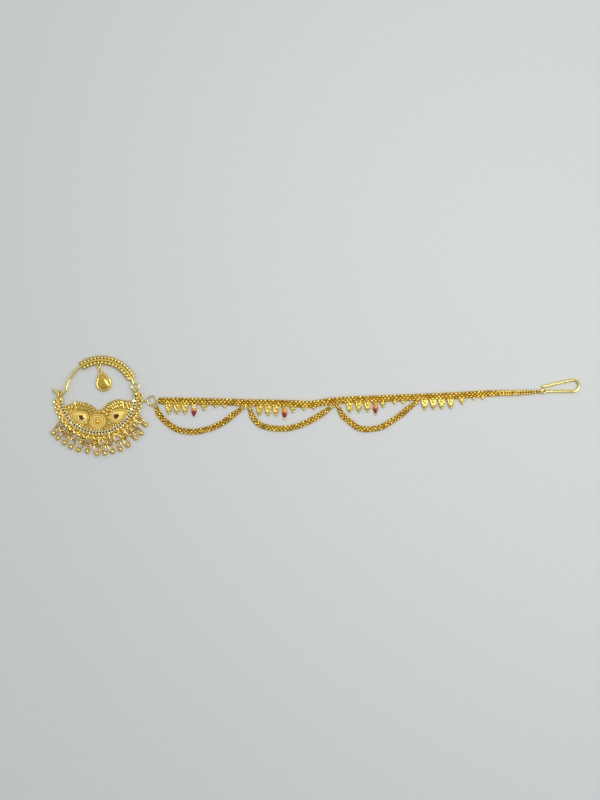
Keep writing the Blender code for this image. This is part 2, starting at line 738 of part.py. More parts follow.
def build_fringe():
    reach = FRINGE_RING_LENGTH + BALL_EYE_LENGTH + BALL_RADIUS
    for number, (loop, ballDegrees, rollDegrees, slack) in enumerate(FRINGE, 1):
        start = polar(edgeHoleRadius, edge_loop_angle(loop))
        aim = (polar(edgeHoleRadius + reach, math.radians(ballDegrees)) - start).normalized()
        roll = math.radians(rollDegrees)
        start.z = EDGE_LOOP_HEIGHT
        end = start + aim * FRINGE_RING_LENGTH
        end.z = FRINGE_RING_RADIUS * math.cos(roll) + FRINGE_RING_WIRE / 2 + 2 * FLOOR_GAP
        along = (end - start).normalized()
        upright = Matrix.Rotation(roll, 4, along) @ along.cross(Vector((0, 0, 1))).cross(along)
        middle = start + along * FRINGE_RING_LENGTH / 2
        ring = add_link("ring", FRINGE_RING_RADIUS, FRINGE_RING_WIRE, FRINGE_RING_LENGTH)
        place(ring, middle, along, upright)
        node(ring, f"fringe_ring_{number:02d}", gold)

        held = start + along * FRINGE_RING_LENGTH
        eyeStart = held - along * (FRINGE_RING_WIRE / 2 + BALL_EYE_WIRE / 2 + LINK_GAP + slack)
        ballCentre = eyeStart + along * (BALL_EYE_LENGTH + BALL_RADIUS - SOLDER)
        ballCentre.z = BALL_RADIUS + FLOOR_GAP
        eyeAlong = (ballCentre - eyeStart).normalized()
        eye = add_arch("eye", BALL_EYE_RADIUS, BALL_EYE_LENGTH, BALL_EYE_WIRE)
        place(eye, eyeStart + eyeAlong * BALL_EYE_LENGTH, -eyeAlong, eyeAlong.cross(upright))
        ball = add_ball("ball", BALL_RADIUS, Vector((0, 0, 0)))
        place(ball, ballCentre, eyeAlong.cross(upright), upright)
        node(fuse(ball, [eye]), f"fringe_ball_{number:02d}", gold)


def build_links():
    far = Vector((jumpCentre.x - JUMP_RING_RADIUS + sideLinkGrip, jumpCentre.y, JUMP_RING_HEIGHT))
    link = add_link("side_link", SIDE_LINK_RADIUS, SIDE_LINK_WIRE, SIDE_LINK_LENGTH)
    place(link, (sideHole + far) / 2, far - sideHole, Vector((0, 0, 1)))
    node(link, "side_link", gold)
    ring = add_ring("jump_ring", JUMP_RING_RADIUS, JUMP_RING_WIRE, 14, 6)
    node(set_down(ring, jumpCentre), "jump_ring", gold)


def end_loop(hole, along, length=END_LOOP_LENGTH):
    """The upright loop at a band's end: its near wire passes the hole that it hangs in."""
    height = END_LOOP_RADIUS + END_LOOP_WIRE / 2 + FLOOR_GAP
    loop = add_arch("end_loop", END_LOOP_RADIUS, length, END_LOOP_WIRE)
    return place(loop, Vector((hole.x, hole.y, height)) + along * length, -along, Vector((0, 0, 1)))


def chain_place(share):
    """Middle of the chain, its half width and its direction at a share of its length."""
    for a, b, shareA, shareB in zip(chainRoute, chainRoute[1:], chainShares, chainShares[1:]):
        if a.x <= chainStart.x + share * CHAIN_LENGTH <= b.x:
            t = (chainStart.x + share * CHAIN_LENGTH - a.x) / (b.x - a.x)
            return a.lerp(b, t), CHAIN_WIDTH / 2 * (shareA + (shareB - shareA) * t), (b - a).normalized()
    raise ValueError("no chain at that share")


def below_chain(share, depth):
    """A point that lies under the chain's lower edge."""
    middle, half, ahead = chain_place(share)
    down = Vector((ahead.y, -ahead.x, 0))
    return middle + down * (half + depth), down


def hanging_eye(share):
    """The hole of the flat eye soldered under the chain, where a swag or a drop hangs."""
    return below_chain(share, (CHAIN_EYE_REACH - CHAIN_EYE_WIRE / 2) / 2)


def trimmed(points, shares, lead, tail):
    """The route without the stretches that the end loops take."""
    start = points[0]
    end = points[-1]
    kept = [(p, s) for p, s in zip(points, shares) if (p - start).length > lead and (p - end).length > tail]
    first = start + (kept[0][0] - start).normalized() * lead
    last = end + (kept[-1][0] - end).normalized() * tail
    keptPoints = [first, *(p for p, s in kept), last]
    return keptPoints, [shares[0], *(s for p, s in kept), shares[-1]]


def build_chain():
    points, shares = trimmed(chainRoute, chainShares, bandLead, bandLead)
    band = add_band("hair_chain", points, shares, CHAIN_WIDTH, CHAIN_THICKNESS)
    up = Vector((0, 0, 1))
    ends = ((chainRoute[0], points[0]), (chainRoute[-1], points[-1]))
    loops = [end_loop(hole, (near - hole).normalized()) for hole, near in ends]
    eyes = []
    swagEnds = [spot for first, last, shape in SWAGS for spot in (first, last) if spot is not None]
    for spot in swagEnds + ENAMEL_PLACES:
        foot, down = below_chain(spot, 0.0)
        eye = add_arch("chain_eye", CHAIN_EYE_RADIUS, CHAIN_EYE_REACH, CHAIN_EYE_WIRE)
        eyes.append(set_down(eye, foot + up * CHAIN_EYE_HEIGHT, down))
    kinds = [
        (LEAF_PLACES, LEAF_RADIUS, LEAF_LENGTH, 8),
        (TREFOIL_PLACES, TREFOIL_RADIUS, TREFOIL_LENGTH, 7),
        (BUD_PLACES, BUD_RADIUS, BUD_LENGTH, 6),
    ]
    leaves = []
    for spots, radius, length, count in kinds:
        for spot in spots:
            centre, down = below_chain(spot, radius - 2.5 * SOLDER)
            levels = [(FLOOR_GAP, 0.0), (LEAF_THICKNESS, 0.3 * radius)]
            leaf = pear_solid("leaf", radius, length, count, levels, leaf_outline)
            leaves.append(set_down(leaf, centre, down))
    pieces = [merged("end_loops", loops), merged("chain_eyes", eyes), merged("leaves", leaves)]
    node(fuse(band, pieces), "hair_chain", deep_gold)


def build_swags():
    for number, (first, last, shape) in enumerate(SWAGS, 1):
        if first is None:
            start = jumpCentre + polar(JUMP_RING_RADIUS - endLoopGrip, FIRST_SWAG_ANGLE)
        else:
            start = hanging_eye(first)[0]
        end = hanging_eye(last)[0]
        start.z = 0.0
        span = end - start
        down = Vector((span.y, -span.x, 0)).normalized()
        between = [start + span * along + down * span.length * drop for along, drop in shape]
        route = smooth_route([start, *between, end], 2)
        widths = []
        for point in route:
            nearness = min((point - start).length, (point - end).length) / SWAG_TAPER
            widths.append(SWAG_END_SHARE + (1 - SWAG_END_SHARE) * min(nearness, 1.0))
        points, shares = trimmed(route, widths, bandLead, bandLead)
        band = add_band("swag", points, shares, SWAG_WIDTH, SWAG_THICKNESS)
        ends = ((start, points[0]), (end, points[-1]))
        loops = [end_loop(hole, (near - hole).normalized()) for hole, near in ends]
        node(fuse(band, [merged("end_loops", loops)]), f"swag_{number}", deep_gold)


def build_enamel_drops():
    for number, spot in enumerate(ENAMEL_PLACES, 1):
        hole, down = hanging_eye(spot)
        loop = end_loop(hole, down, ENAMEL_LOOP_LENGTH)
        centre = hole + down * (ENAMEL_LOOP_LENGTH - SOLDER + ENAMEL_RADIUS)
        levels = [
            (0.0, 0.25 * ENAMEL_RADIUS),
            (ENAMEL_THICKNESS * 0.5, 0.0),
            (ENAMEL_THICKNESS, 0.5 * ENAMEL_RADIUS),
        ]
        drop = pear_solid("drop", ENAMEL_RADIUS, ENAMEL_LENGTH, 12, levels)
        set_down(drop, Vector((centre.x, centre.y, FLOOR_GAP)), down)
        node(fuse(drop, [loop]), f"enamel_drop_{number}", red_enamel)


def build_hair_hook():
    forward = Vector((1, 0, 0))
    eyeCentre = chainRoute[-1].copy()
    eyeCentre.z = END_LOOP_RADIUS + END_LOOP_WIRE / 2
    low = HAIR_HOOK_WIRE / 2 + FLOOR_GAP
    start = eyeCentre + forward * HAIR_HOOK_EYE_RADIUS
    level = start + forward * HAIR_HOOK_RUN * 0.25
    level.z = low
    run = start + forward * HAIR_HOOK_RUN
    run.z = low
    points = [start, (start + level) / 2, level, run]
    centre = run + Vector((0, HAIR_HOOK_BEND_RADIUS, 0))
    steps = 9
    sweep = math.pi + HAIR_HOOK_CLOSING
    for i in range(1, steps + 1):
        points.append(centre + polar(HAIR_HOOK_BEND_RADIUS, -math.pi / 2 + sweep * i / steps))
    back = polar(1, math.pi + HAIR_HOOK_CLOSING)
    points.append(points[-1] + back * HAIR_HOOK_RETURN / 2)
    points.append(points[-1] + back * HAIR_HOOK_RETURN / 2)
    hook = add_wire("hair_hook", points, HAIR_HOOK_WIRE, 2)
    eye = add_ring("hook_eye", HAIR_HOOK_EYE_RADIUS, HAIR_HOOK_EYE_WIRE, 12, 6)
    set_down(eye, eyeCentre)
    node(fuse(hook, [eye]), "hair_hook", gold)


def centre_on_floor():
    """Move the whole so that the middle of its bounds, on the floor, is the world's origin."""
    bpy.context.view_layer.update()
    corners = [Vector(corner) for thing in nath.objects if thing.data for corner in thing.bound_box]
    low = Vector([min(corner[i] for corner in corners) for i in range(3)])
    high = Vector([max(corner[i] for corner in corners) for i in range(3)])
    root.location = Vector((-(low.x + high.x) / 2, -(low.y + high.y) / 2, -low.z))


clear_scene()
work = make_collection("unfinished")
nath = make_collection("nath")
root = bpy.data.objects.new("nath_origin", None)
nath.objects.link(root)

gold = make_material("gold", GOLD, 1.0, 0.25)
pale_gold = make_material("pale_gold", PALE_GOLD, 1.0, 0.4)
deep_gold = make_material("deep_gold", DEEP_GOLD, 1.0, 0.35)
champagne = make_material("champagne_stone", CHAMPAGNE, 0.2, 0.1)
dark_red = make_material("dark_red_stone", DARK_RED, 0.0, 0.1)
orange = make_material("orange_stone", ORANGE, 0.0, 0.15)
red_enamel = make_material("red_enamel", RED_ENAMEL, 0.0, 0.15)

# The line that the hoop swings on runs through both tip rings
swingHeight = LEFT_RING_RADIUS + LEFT_RING_WIRE / 2
leftTip, leftOnward = crescent_tip(-1)
rightTip, rightOnward = crescent_tip(1)
hingeLeft = leftTip + leftOnward * LEFT_RING_RADIUS + Vector((0, 0, swingHeight))
hingeRight = rightTip + rightOnward * RIGHT_RING_RADIUS + Vector((0, 0, swingHeight))
swingAxis = (hingeRight - hingeLeft).normalized()

# The hoop hangs by its eye on the right tip ring
hoopEye = hingeRight + Vector((0, HOOP_EYE_RADIUS, 0))
hoopCentre = hoopEye - polar(HOOP_RADIUS + HOOP_EYE_OFFSET, HOOP_EYE_ANGLE)

# The hoop leans from its tip rings down to the floor
ropeOffset = HOOP_WIRE / 2 + ROPE_WIRE / 2 - SOLDER / 2
ropeInner = HOOP_RADIUS - ropeOffset - ROPE_WIRE / 2
ropeReach = hoopCentre.y + HOOP_RADIUS + ropeOffset - (hingeLeft.y + hingeRight.y) / 2
lean = math.asin((swingHeight - ROPE_WIRE / 2 - FLOOR_GAP) / ropeReach)
tilt = Matrix.Translation(hingeLeft) @ Matrix.Rotation(-lean, 4, swingAxis) @ Matrix.Translation(-hingeLeft)

# The pendant hangs by a link on the hoop's hanger
hangPoint = hoopCentre + polar(ropeInner - (HANGER_REACH - HANGER_WIRE / 2) / 2, HANGER_ANGLE)
pendantLinkLength = ((HANGER_REACH + HANGER_WIRE / 2) / 2 + HANGER_WIRE / 2 + PENDANT_EYE_WIRE
                     + PENDANT_LINK_WIRE / 2 + 2 * LINK_GAP)

# The side link joins one edge loop to the jump ring
sideHole = polar(edgeHoleRadius, edge_loop_angle(SIDE_LINK_LOOP), EDGE_LOOP_HEIGHT)
sideLinkGrip = JUMP_RING_WIRE / 2 + SIDE_LINK_WIRE / 2 + LINK_GAP
jumpCentre = sideHole + Vector((SIDE_LINK_LENGTH - sideLinkGrip + JUMP_RING_RADIUS, 0, 0))
jumpCentre.z = JUMP_RING_HEIGHT

# The chain starts on the jump ring
endLoopGrip = JUMP_RING_WIRE / 2 + END_LOOP_WIRE / 2 + LINK_GAP
bandLead = END_LOOP_LENGTH - SOLDER
chainStart = Vector((jumpCentre.x + JUMP_RING_RADIUS, jumpCentre.y, 0))
routeRows = [Vector((-endLoopGrip, 0, CHAIN_START_SHARE))]
routeRows += [Vector((x * CHAIN_LENGTH, y * CHAIN_LENGTH, share)) for x, y, share in CHAIN_ROUTE]
routeRows = smooth_route(routeRows, 3)
chainRoute = [chainStart + Vector((row.x, row.y, 0)) for row in routeRows]
chainShares = [row.z for row in routeRows]

build_crescent()
build_hoop().data.transform(tilt)
build_pendant()
build_gallery()
build_plaques()
build_fringe()
build_links()
build_chain()
build_swags()
build_enamel_drops()
build_hair_hook()
centre_on_floor()
bpy.data.collections.remove(work)
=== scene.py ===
from contextlib import contextmanager
from math import acos, asin, copysign, cos, pi, radians, sin

import bpy
from mathutils import Matrix, Vector, noise


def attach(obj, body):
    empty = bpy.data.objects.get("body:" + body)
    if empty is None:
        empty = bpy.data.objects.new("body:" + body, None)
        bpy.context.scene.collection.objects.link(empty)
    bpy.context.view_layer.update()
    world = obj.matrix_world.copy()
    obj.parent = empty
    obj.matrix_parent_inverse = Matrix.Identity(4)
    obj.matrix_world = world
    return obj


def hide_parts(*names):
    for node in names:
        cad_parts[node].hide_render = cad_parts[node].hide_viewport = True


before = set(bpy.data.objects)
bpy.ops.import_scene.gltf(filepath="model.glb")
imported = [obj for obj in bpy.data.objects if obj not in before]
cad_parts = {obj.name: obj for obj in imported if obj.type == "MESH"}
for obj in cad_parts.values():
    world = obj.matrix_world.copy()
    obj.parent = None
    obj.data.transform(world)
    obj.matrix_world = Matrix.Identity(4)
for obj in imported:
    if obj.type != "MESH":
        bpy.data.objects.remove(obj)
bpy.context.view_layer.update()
mm = 0.001
up = Vector((0, 0, 1))
print("frame loaded:", len(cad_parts), "nodes")

# Turns the sizes that are given in mm into a dictionary of metres
def lengths(**sizes):
    def inMetres(size):
        return type(size)(map(inMetres, size)) if isinstance(size, (list, tuple)) else size * mm
    return {name: inMetres(size) for name, size in sizes.items()}


# Pieces are laid out round the centre of the crescent's arc, and moved to their place when they are done
jewel = lengths(
    floorGap=0.03, solder=0.3, linkGap=0.2,
) | {
    "centre": Vector((-99.8333, 5.1216, 0)) * mm, "still": "crescent_and_chain", "swinging": "hoop",
}
floorGap = jewel["floorGap"]
solder = jewel["solder"]
linkGap = jewel["linkGap"]


def deselectAll():
    bpy.ops.object.select_all(action="DESELECT")


def activate(*pieces):
    deselectAll()
    for piece in pieces:
        piece.select_set(True)
    bpy.context.view_layer.objects.active = pieces[0]


def polar(radius, angle, height=0.0):
    return Vector((radius * cos(angle), radius * sin(angle), height))


def newest(name):
    piece = bpy.context.object
    piece.name = name
    piece.data.name = name
    return piece


def applyPlace(piece):
    activate(piece)
    bpy.ops.object.transform_apply(location=True, rotation=True, scale=True)
    return piece


def at(place):
    return Matrix.Translation(place)


def spin(angle, axis="Z"):
    return Matrix.Rotation(angle, 4, axis)


def stretch(x, y, z):
    return Matrix.Diagonal((x, y, z, 1))


def leftOf(direction):
    return Vector((-direction.y, direction.x, 0))


def facing(position, along, side=None):
    x = along.normalized()
    z = x.cross(side if side is not None else up.cross(x)).normalized()
    y = z.cross(x)
    return at(position) @ Matrix((x, y, z)).transposed().to_4x4()


def moved(piece, matrix):
    piece.matrix_world = matrix @ piece.matrix_world
    return applyPlace(piece)


def copyOf(piece, matrix):
    twin = piece.copy()
    twin.data = piece.data.copy()
    bpy.context.scene.collection.objects.link(twin)
    twin.data.transform(matrix)
    return twin


def discard(*pieces):
    for piece in pieces:
        bpy.data.objects.remove(piece)


# Opens the piece for editing with all of it selected, and turns its normals outward at the end
@contextmanager
def editing(piece, mode="VERT"):
    activate(piece)
    bpy.ops.object.mode_set(mode="EDIT")
    bpy.ops.mesh.select_mode(type=mode)
    bpy.ops.mesh.select_all(action="SELECT")
    yield
    bpy.ops.mesh.select_all(action="SELECT")
    bpy.ops.mesh.normals_make_consistent(inside=False)
    bpy.ops.object.mode_set(mode="OBJECT")


def joinPieces(name, pieces):
    activate(*pieces)
    if len(pieces) > 1:
        bpy.ops.object.join()
    return newest(name)


def bendWire(name, points, radius, roundness=2, closed=False, caps=True):
    line = bpy.data.curves.new(name, "CURVE")
    line.dimensions = "3D"
    line.bevel_depth = radius
    line.bevel_resolution = roundness
    line.use_fill_caps = caps
    spline = line.splines.new("POLY")
    spline.points.add(len(points) - 1)
    for target, point in zip(spline.points, points):
        target.co = (*point, 1.0)
    spline.use_cyclic_u = closed
    wire = bpy.data.objects.new(name, line)
    bpy.context.scene.collection.objects.link(wire)
    activate(wire)
    bpy.ops.object.convert(target="MESH")
    return newest(name)


def smoothRoute(points, steps):
    padded = [points[0] * 2 - points[1], *points, points[-1] * 2 - points[-2]]
    route = []
    for a, b, c, d in zip(padded, padded[1:], padded[2:], padded[3:]):
        for step in range(steps):
            t = step / steps
            route.append((b * 2 + (c - a) * t + (a * 2 - b * 5 + c * 4 - d) * t ** 2
                          + (b * 3 - a - c * 3 + d) * t ** 3) / 2)
    route.append(points[-1].copy())
    return route


def ball(name, radius, position, segments=16, rings=10):
    bpy.ops.mesh.primitive_uv_sphere_add(
        segments=segments, ring_count=rings, radius=radius, location=position)
    return applyPlace(newest(name))


def ovalRing(name, radius, wire, length, segments=28, sides=10):
    bpy.ops.mesh.primitive_torus_add(
        major_radius=radius, minor_radius=wire / 2, major_segments=segments, minor_segments=sides)
    piece = newest(name)
    for vertex in piece.data.vertices:
        vertex.co.x += copysign(length / 2 - radius, vertex.co.x)
    return piece


def roundRing(name, radius, wire, place, segments=28, sides=10):
    return moved(ovalRing(name, radius, wire, 2 * radius, segments, sides), place)


# A wire bent to an arch in the flat, with its two feet in the solder at the origin
def arch(name, radius, reach, wire, bends=9):
    middle = Vector((reach - radius, 0, 0))
    bow = [middle + polar(radius, -pi / 2 + pi * i / bends) for i in range(bends + 1)]
    feet = [Vector((-solder, side * radius, 0)) for side in (-1, 1)]
    return bendWire(name, [feet[0], *bow, feet[1]], wire / 2)


def flatShape(name, outline):
    bpy.ops.mesh.primitive_circle_add(vertices=len(outline), radius=mm, fill_type="NGON")
    piece = newest(name)
    for vertex, point in zip(piece.data.vertices, outline):
        vertex.co = point
    return piece


# Each step raises the top face and draws it in towards the origin by a share
def pressUp(piece, steps):
    with editing(piece, "FACE"):
        for rise, share in steps:
            bpy.ops.mesh.extrude_region_move(TRANSFORM_OT_translate={"value": (0, 0, rise)})
            if share < 1:
                bpy.ops.transform.resize(value=(share, share, 1), center_override=(0, 0, 0))
    return piece


# A round head at the origin, seven tenths of the points, and two bowed sides that meet in a tip on X
def pearOutline(radius, length, count):
    meeting = acos(radius / length)
    sweep = 2 * (pi - meeting)
    arc = round(count * 0.7)
    outline = [polar(radius, meeting + sweep * i / arc) for i in range(arc + 1)]
    tip = Vector((length, 0, 0))
    bow = Vector((0, radius * 0.36, 0))
    sides = count - arc
    for i in range(1, sides):
        t = i / sides * 2
        if t <= 1:
            outline.append(outline[arc].lerp(tip, t) - bow * t * (1 - t))
        else:
            outline.append(tip.lerp(outline[0], t - 1) + bow * (t - 1) * (2 - t))
    return outline


def finishPiece(piece, material, nodes=(), angle=40, body="still"):
    activate(piece)
    bpy.ops.object.shade_smooth_by_angle(angle=radians(angle))
    piece.location = piece.location + jewel["centre"]
    applyPlace(piece)
    piece.data.materials.clear()
    piece.data.materials.append(material)
    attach(piece, jewel[body])
    if nodes:
        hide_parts(*nodes)
    return piece


# A socket's value, so that numbers and sockets are added and multiplied as plain sums
class ShaderValue:
    def __init__(self, sheet, socket):
        self.sheet = sheet
        self.socket = socket

    def math(self, operation, first, second):
        return self.sheet.node("ShaderNodeMath", {"operation": operation}, {0: first, 1: second})

    def __add__(self, other):
        return self.math("ADD", self, other)

    def __radd__(self, other):
        return self.math("ADD", other, self)

    def __sub__(self, other):
        return self.math("SUBTRACT", self, other)

    def __rsub__(self, other):
        return self.math("SUBTRACT", other, self)

    def __mul__(self, other):
        return self.math("MULTIPLY", self, other)

    def __rmul__(self, other):
        return self.math("MULTIPLY", other, self)


class NodeSheet:
    def __init__(self, tree):
        self.tree = tree

    def put(self, socket, value):
        if isinstance(value, ShaderValue):
            self.tree.links.new(value.socket, socket)
        else:
            socket.default_value = value

    def node(self, kind, settings=None, sockets=None, output=0):
        made = self.tree.nodes.new(kind)
        for key, value in (settings or {}).items():
            if key == "stops":
                ramp = made.color_ramp
                while len(ramp.elements) < len(value):
                    ramp.elements.new(1.0)
                for element, (position, color) in zip(ramp.elements, value):
                    element.position = position
                    element.color = (*color, 1.0)
            else:
                setattr(made, key, value)
        for key, value in (sockets or {}).items():
            self.put(made.inputs[key], value)
        return ShaderValue(self, made.outputs[output])

    def place(self, kind="Object"):
        return self.node("ShaderNodeTexCoord", output=kind)

    def axis(self, name, kind="Object"):
        return self.node("ShaderNodeSeparateXYZ", sockets={0: self.place(kind)}, output=name)

    def noise(self, size, detail=2.0):
        sockets = {"Vector": self.place(), "Scale": 1 / (size * mm), "Detail": detail}
        return self.node("ShaderNodeTexNoise", sockets=sockets, output=0)

    def cells(self, size):
        sockets = {"Vector": self.place(), "Scale": 1 / (size * mm)}
        color = self.node("ShaderNodeTexVoronoi", sockets=sockets, output="Color")
        return self.node("ShaderNodeSeparateColor", sockets={0: color}, output=0)

    def between(self, value, low, high, start=0.0, end=1.0):
        sockets = {"Value": value, "From Min": low, "From Max": high, "To Min": start, "To Max": end}
        return self.node("ShaderNodeMapRange", {"clamp": True}, sockets)

    def mix(self, share, first, second):
        colors = [(*color, 1.0) if isinstance(color, tuple) else color for color in (first, second)]
        return self.node("ShaderNodeMix", {"data_type": "RGBA"}, {0: share, 6: colors[0], 7: colors[1]}, 2)


class Finish(NodeSheet):
    def __init__(self, name, metallic, roughness, coat=0.0):
        self.material = bpy.data.materials.new(name)
        self.material.use_nodes = True
        super().__init__(self.material.node_tree)
        self.shader = self.tree.nodes["Principled BSDF"]
        self.set("Metallic", metallic)
        self.set("Roughness", roughness)
        self.set("Coat Weight", coat)

    def set(self, socketName, value):
        self.put(self.shader.inputs[socketName], value)

    def bump(self, height, strength, distance):
        sockets = {"Height": height, "Strength": strength, "Distance": distance * mm}
        self.set("Normal", self.node("ShaderNodeBump", sockets=sockets))


goldTones = {
    "lemon": (0.96, 0.80, 0.25),
    "bright": (0.95, 0.72, 0.17),
    "warm": (0.90, 0.58, 0.09),
    # The dark brown that the gold finishes mix in where they lie low, as painted shade
    "shadeBrown": (0.36, 0.17, 0.015),
    "brown": (0.62, 0.33, 0.02),
    # The bright tone of the woven gold's painted glints
    "speck": (0.98, 0.71, 0.10),
    "matte": (0.90, 0.68, 0.24),
    "cream": (1.0, 0.91, 0.55),
}


# Polished gold with painted shade: its colour runs to the dark brown where it lies low
def polishedGold(name, first, second, low, high, roughness=0.16, paintedShade=0.8):
    finish = Finish(name, 1.0, roughness)
    height = finish.between(finish.axis("Z"), low * mm, high * mm)
    patches = finish.between(finish.noise(1.6), 0.35, 0.65)
    tone = finish.mix(patches, goldTones[first], goldTones[second])
    # Painted shade: the lower the surface lies, the more its colour goes to the dark brown
    finish.set("Base Color", finish.mix((1 - height) * paintedShade, tone, goldTones["shadeBrown"]))
    wear = finish.noise(0.5, 3.0)
    finish.set("Roughness", finish.between(wear, 0.3, 0.7, roughness * 0.7, roughness * 1.5))
    finish.bump(finish.noise(0.35), 0.12, 0.05)
    return finish.material


# Sand-blasted gold, with painted shade in its engraved lines and on its low sides
def matteGold(name, low, high):
    finish = Finish(name, 1.0, 0.42)
    grain = finish.noise(0.18, 4.0)
    patches = finish.between(finish.noise(1.2), 0.3, 0.7)
    tone = finish.mix(patches, goldTones["matte"], goldTones["bright"])
    depth = 1 - finish.between(finish.axis("Z"), low * mm, high * mm)
    # Painted shade: below the field's level the colour goes towards the dark brown
    finish.set("Base Color", finish.mix(depth * 0.75, tone, goldTones["shadeBrown"]))
    finish.set("Roughness", finish.between(grain, 0.3, 0.7, 0.38, 0.56))
    finish.bump(grain, 0.3, 0.04)
    return finish.material


# Woven wires with painted glints, noise patches of a bright tone over brown, and painted shade where they lie
# low between them
def wovenGold(name, speck, low, high):
    finish = Finish(name, 1.0, 0.2)
    # Painted glints: noise patches of the bright tone stand in for light caught on the wires
    paintedGlints = finish.between(finish.noise(speck, 1.0), 0.36, 0.50)
    tone = finish.mix(paintedGlints, goldTones["brown"], goldTones["speck"])
    depth = 1 - finish.between(finish.axis("Z"), low * mm, high * mm)
    # Painted shade: the lower the wires lie, the darker their colour
    finish.set("Base Color", finish.mix(depth, tone, goldTones["shadeBrown"]))
    finish.set("Roughness", finish.between(finish.noise(0.5, 3.0), 0.3, 0.7, 0.12, 0.28))
    finish.bump(finish.noise(0.3), 0.15, 0.05)
    return finish.material


# The dull bed under the cut grains and between the woven wires, mottled darker by noise; where it is dark
# brown or near-black it is painted shade
def darkBed(name, color):
    finish = Finish(name, 0.7, 0.5)
    finish.set("Base Color", finish.mix(finish.noise(0.4), color, tuple(part * 0.4 for part in color)))
    return finish.material


def cutStone(name, dark, light, size, foil, coat=1.0, roughness=0.06):
    finish = Finish(name, 0.0, roughness, coat)
    # Painted fire: cells of dark and light colour and metal stand in for the flashes from the stone's facets
    paintedFire = finish.cells(size)
    finish.set("Base Color", finish.mix(paintedFire, dark, light))
    finish.set("Metallic", finish.between(paintedFire, 0.2, 0.8, foil * 0.6, foil))
    return finish.material


# Orange enamel that runs to dark red, and glows again at the tip
def meltedEnamel(name):
    finish = Finish(name, 0.0, 0.14, 0.35)
    along = finish.node("ShaderNodeAttribute", {"attribute_name": "dropShare"}, output="Fac")
    flow = along + finish.noise(0.6) * 0.16 - 0.08
    stops = [(0.0, (0.86, 0.32, 0.02)), (0.24, (0.74, 0.15, 0.01)), (0.44, (0.20, 0.010, 0.004)),
             (0.78, (0.22, 0.012, 0.006)), (1.0, (0.55, 0.12, 0.05))]
    finish.set("Base Color", finish.node("ShaderNodeValToRGB", {"stops": stops}, {0: flow}))
    return finish.material


# The last number of each polished gold sets how strong its painted shade is
ringGold = polishedGold("ringGold", "bright", "lemon", 0.4, 1.7, 0.15, 0.85)
fringeGold = polishedGold("fringeGold", "bright", "warm", 0.2, 1.7, 0.14, 0.85)
gutterGold = polishedGold("gutterGold", "warm", "bright", 0.6, 1.15, 0.14, 0.5)
hoopGold = polishedGold("hoopGold", "bright", "lemon", 0.1, 0.9, 0.13, 0.4)
ropeGold = polishedGold("ropeGold", "lemon", "bright", 1.0, 2.6, 0.16, 0.6)
grainGold = polishedGold("grainGold", "cream", "cream", 1.1, 1.5, 0.12, 0.5)
galleryGold = polishedGold("galleryGold", "bright", "lemon", 0.5, 1.1, 0.18, 0.8)
weaveGold = wovenGold("weaveGold", 1.6, 0.4, 0.9)
leafGold = polishedGold("leafGold", "bright", "lemon", 0.1, 0.7, 0.15, 0.6)
bossGold = polishedGold("bossGold", "warm", "matte", 0.3, 1.2, 0.36, 0.5)
plaqueGold = matteGold("plaqueGold", 1.12, 1.26)
chevronBed = darkBed("chevronBed", (0.50, 0.33, 0.09))
# Painted shade: near-black for the notch pieces set between the cut grains
notchShade = darkBed("notchShade", (0.03, 0.02, 0.006))
galleryBed = darkBed("galleryBed", (0.80, 0.52, 0.12))
# Painted shade: the dark brown of the core seen between the woven wires
weaveBed = darkBed("weaveBed", (0.28, 0.14, 0.015))
champagne = cutStone("champagneStone", (0.55, 0.32, 0.04), (0.86, 0.58, 0.13), 1.6, 1.0, 0.0, 0.16)
darkRed = cutStone("darkRedStone", (0.05, 0.003, 0.004), (0.20, 0.012, 0.02), 0.5, 0.7)
orange = cutStone("orangeStone", (0.90, 0.34, 0.01), (1.0, 0.56, 0.03), 0.5, 0.4, 0.2)
enamel = meltedEnamel("redEnamel")
print("finishes made")


crescent = lengths(
    innerRadius=16.3, chevronWidth=2.1, gutterWidth=0.8, grainLength=1.18, grainWidth=1.0,
    grainHeight=0.6, grainLevel=1.45, notch=(0.5, 0.42, 0.6), notchLevel=1.52, loopRadius=0.85,
    loopReach=1.25, loopWire=0.5, loopHeight=1.3, beadRadius=0.8, leftRing=(1.85, 0.7),
    rightRing=(1.3, 0.6), terminal=1.15,
) | {
    "turn": radians(4), "halfSpan": radians(88.5), "grains": 38, "grainSlant": radians(48),
    "grainRows": (0.25, 0.76), "grainTilt": radians(6), "grainWobble": radians(4), "notchShift": 0.36,
    "loops": 25, "loopSwell": 1.45, "loopMargin": radians(3.5),
}
bandOuter = crescent["innerRadius"] + crescent["chevronWidth"] + crescent["gutterWidth"]
edgeHole = bandOuter + (crescent["loopReach"] - crescent["loopWire"] / 2) / 2
crescentStart = 1.5 * pi + crescent["turn"] - crescent["halfSpan"]
crescentSweep = 2 * crescent["halfSpan"]


def crescentTip(side):
    angle = 1.5 * pi + side * crescent["halfSpan"] + crescent["turn"]
    onward = Vector((-sin(angle), cos(angle), 0)) * side
    return polar(crescent["innerRadius"] + crescent["chevronWidth"] / 2, angle), onward


def edgeLoopAngle(index):
    margin = crescent["loopMargin"]
    return crescentStart + margin + (crescentSweep - 2 * margin) * index / (crescent["loops"] - 1)


swingHeight = crescent["leftRing"][0] + crescent["leftRing"][1] / 2
leftTip, leftOnward = crescentTip(-1)
rightTip, rightOnward = crescentTip(1)
hingeLeft = leftTip + leftOnward * crescent["leftRing"][0] + up * swingHeight
hingeRight = rightTip + rightOnward * crescent["rightRing"][0] + up * swingHeight
swingAxis = (hingeRight - hingeLeft).normalized()


def spinBand(name, profile, start, sweep, steps):
    bpy.ops.mesh.primitive_circle_add(vertices=len(profile), radius=mm)
    band = newest(name)
    for vertex, (r, z) in zip(band.data.vertices, profile):
        vertex.co = polar(r, start, z)
    with editing(band):
        bpy.ops.mesh.spin(steps=steps, angle=-sweep, center=(0, 0, 0), axis=(0, 0, 1))
        bpy.ops.mesh.select_all(action="SELECT")
        bpy.ops.mesh.fill_holes(sides=0)
    return band


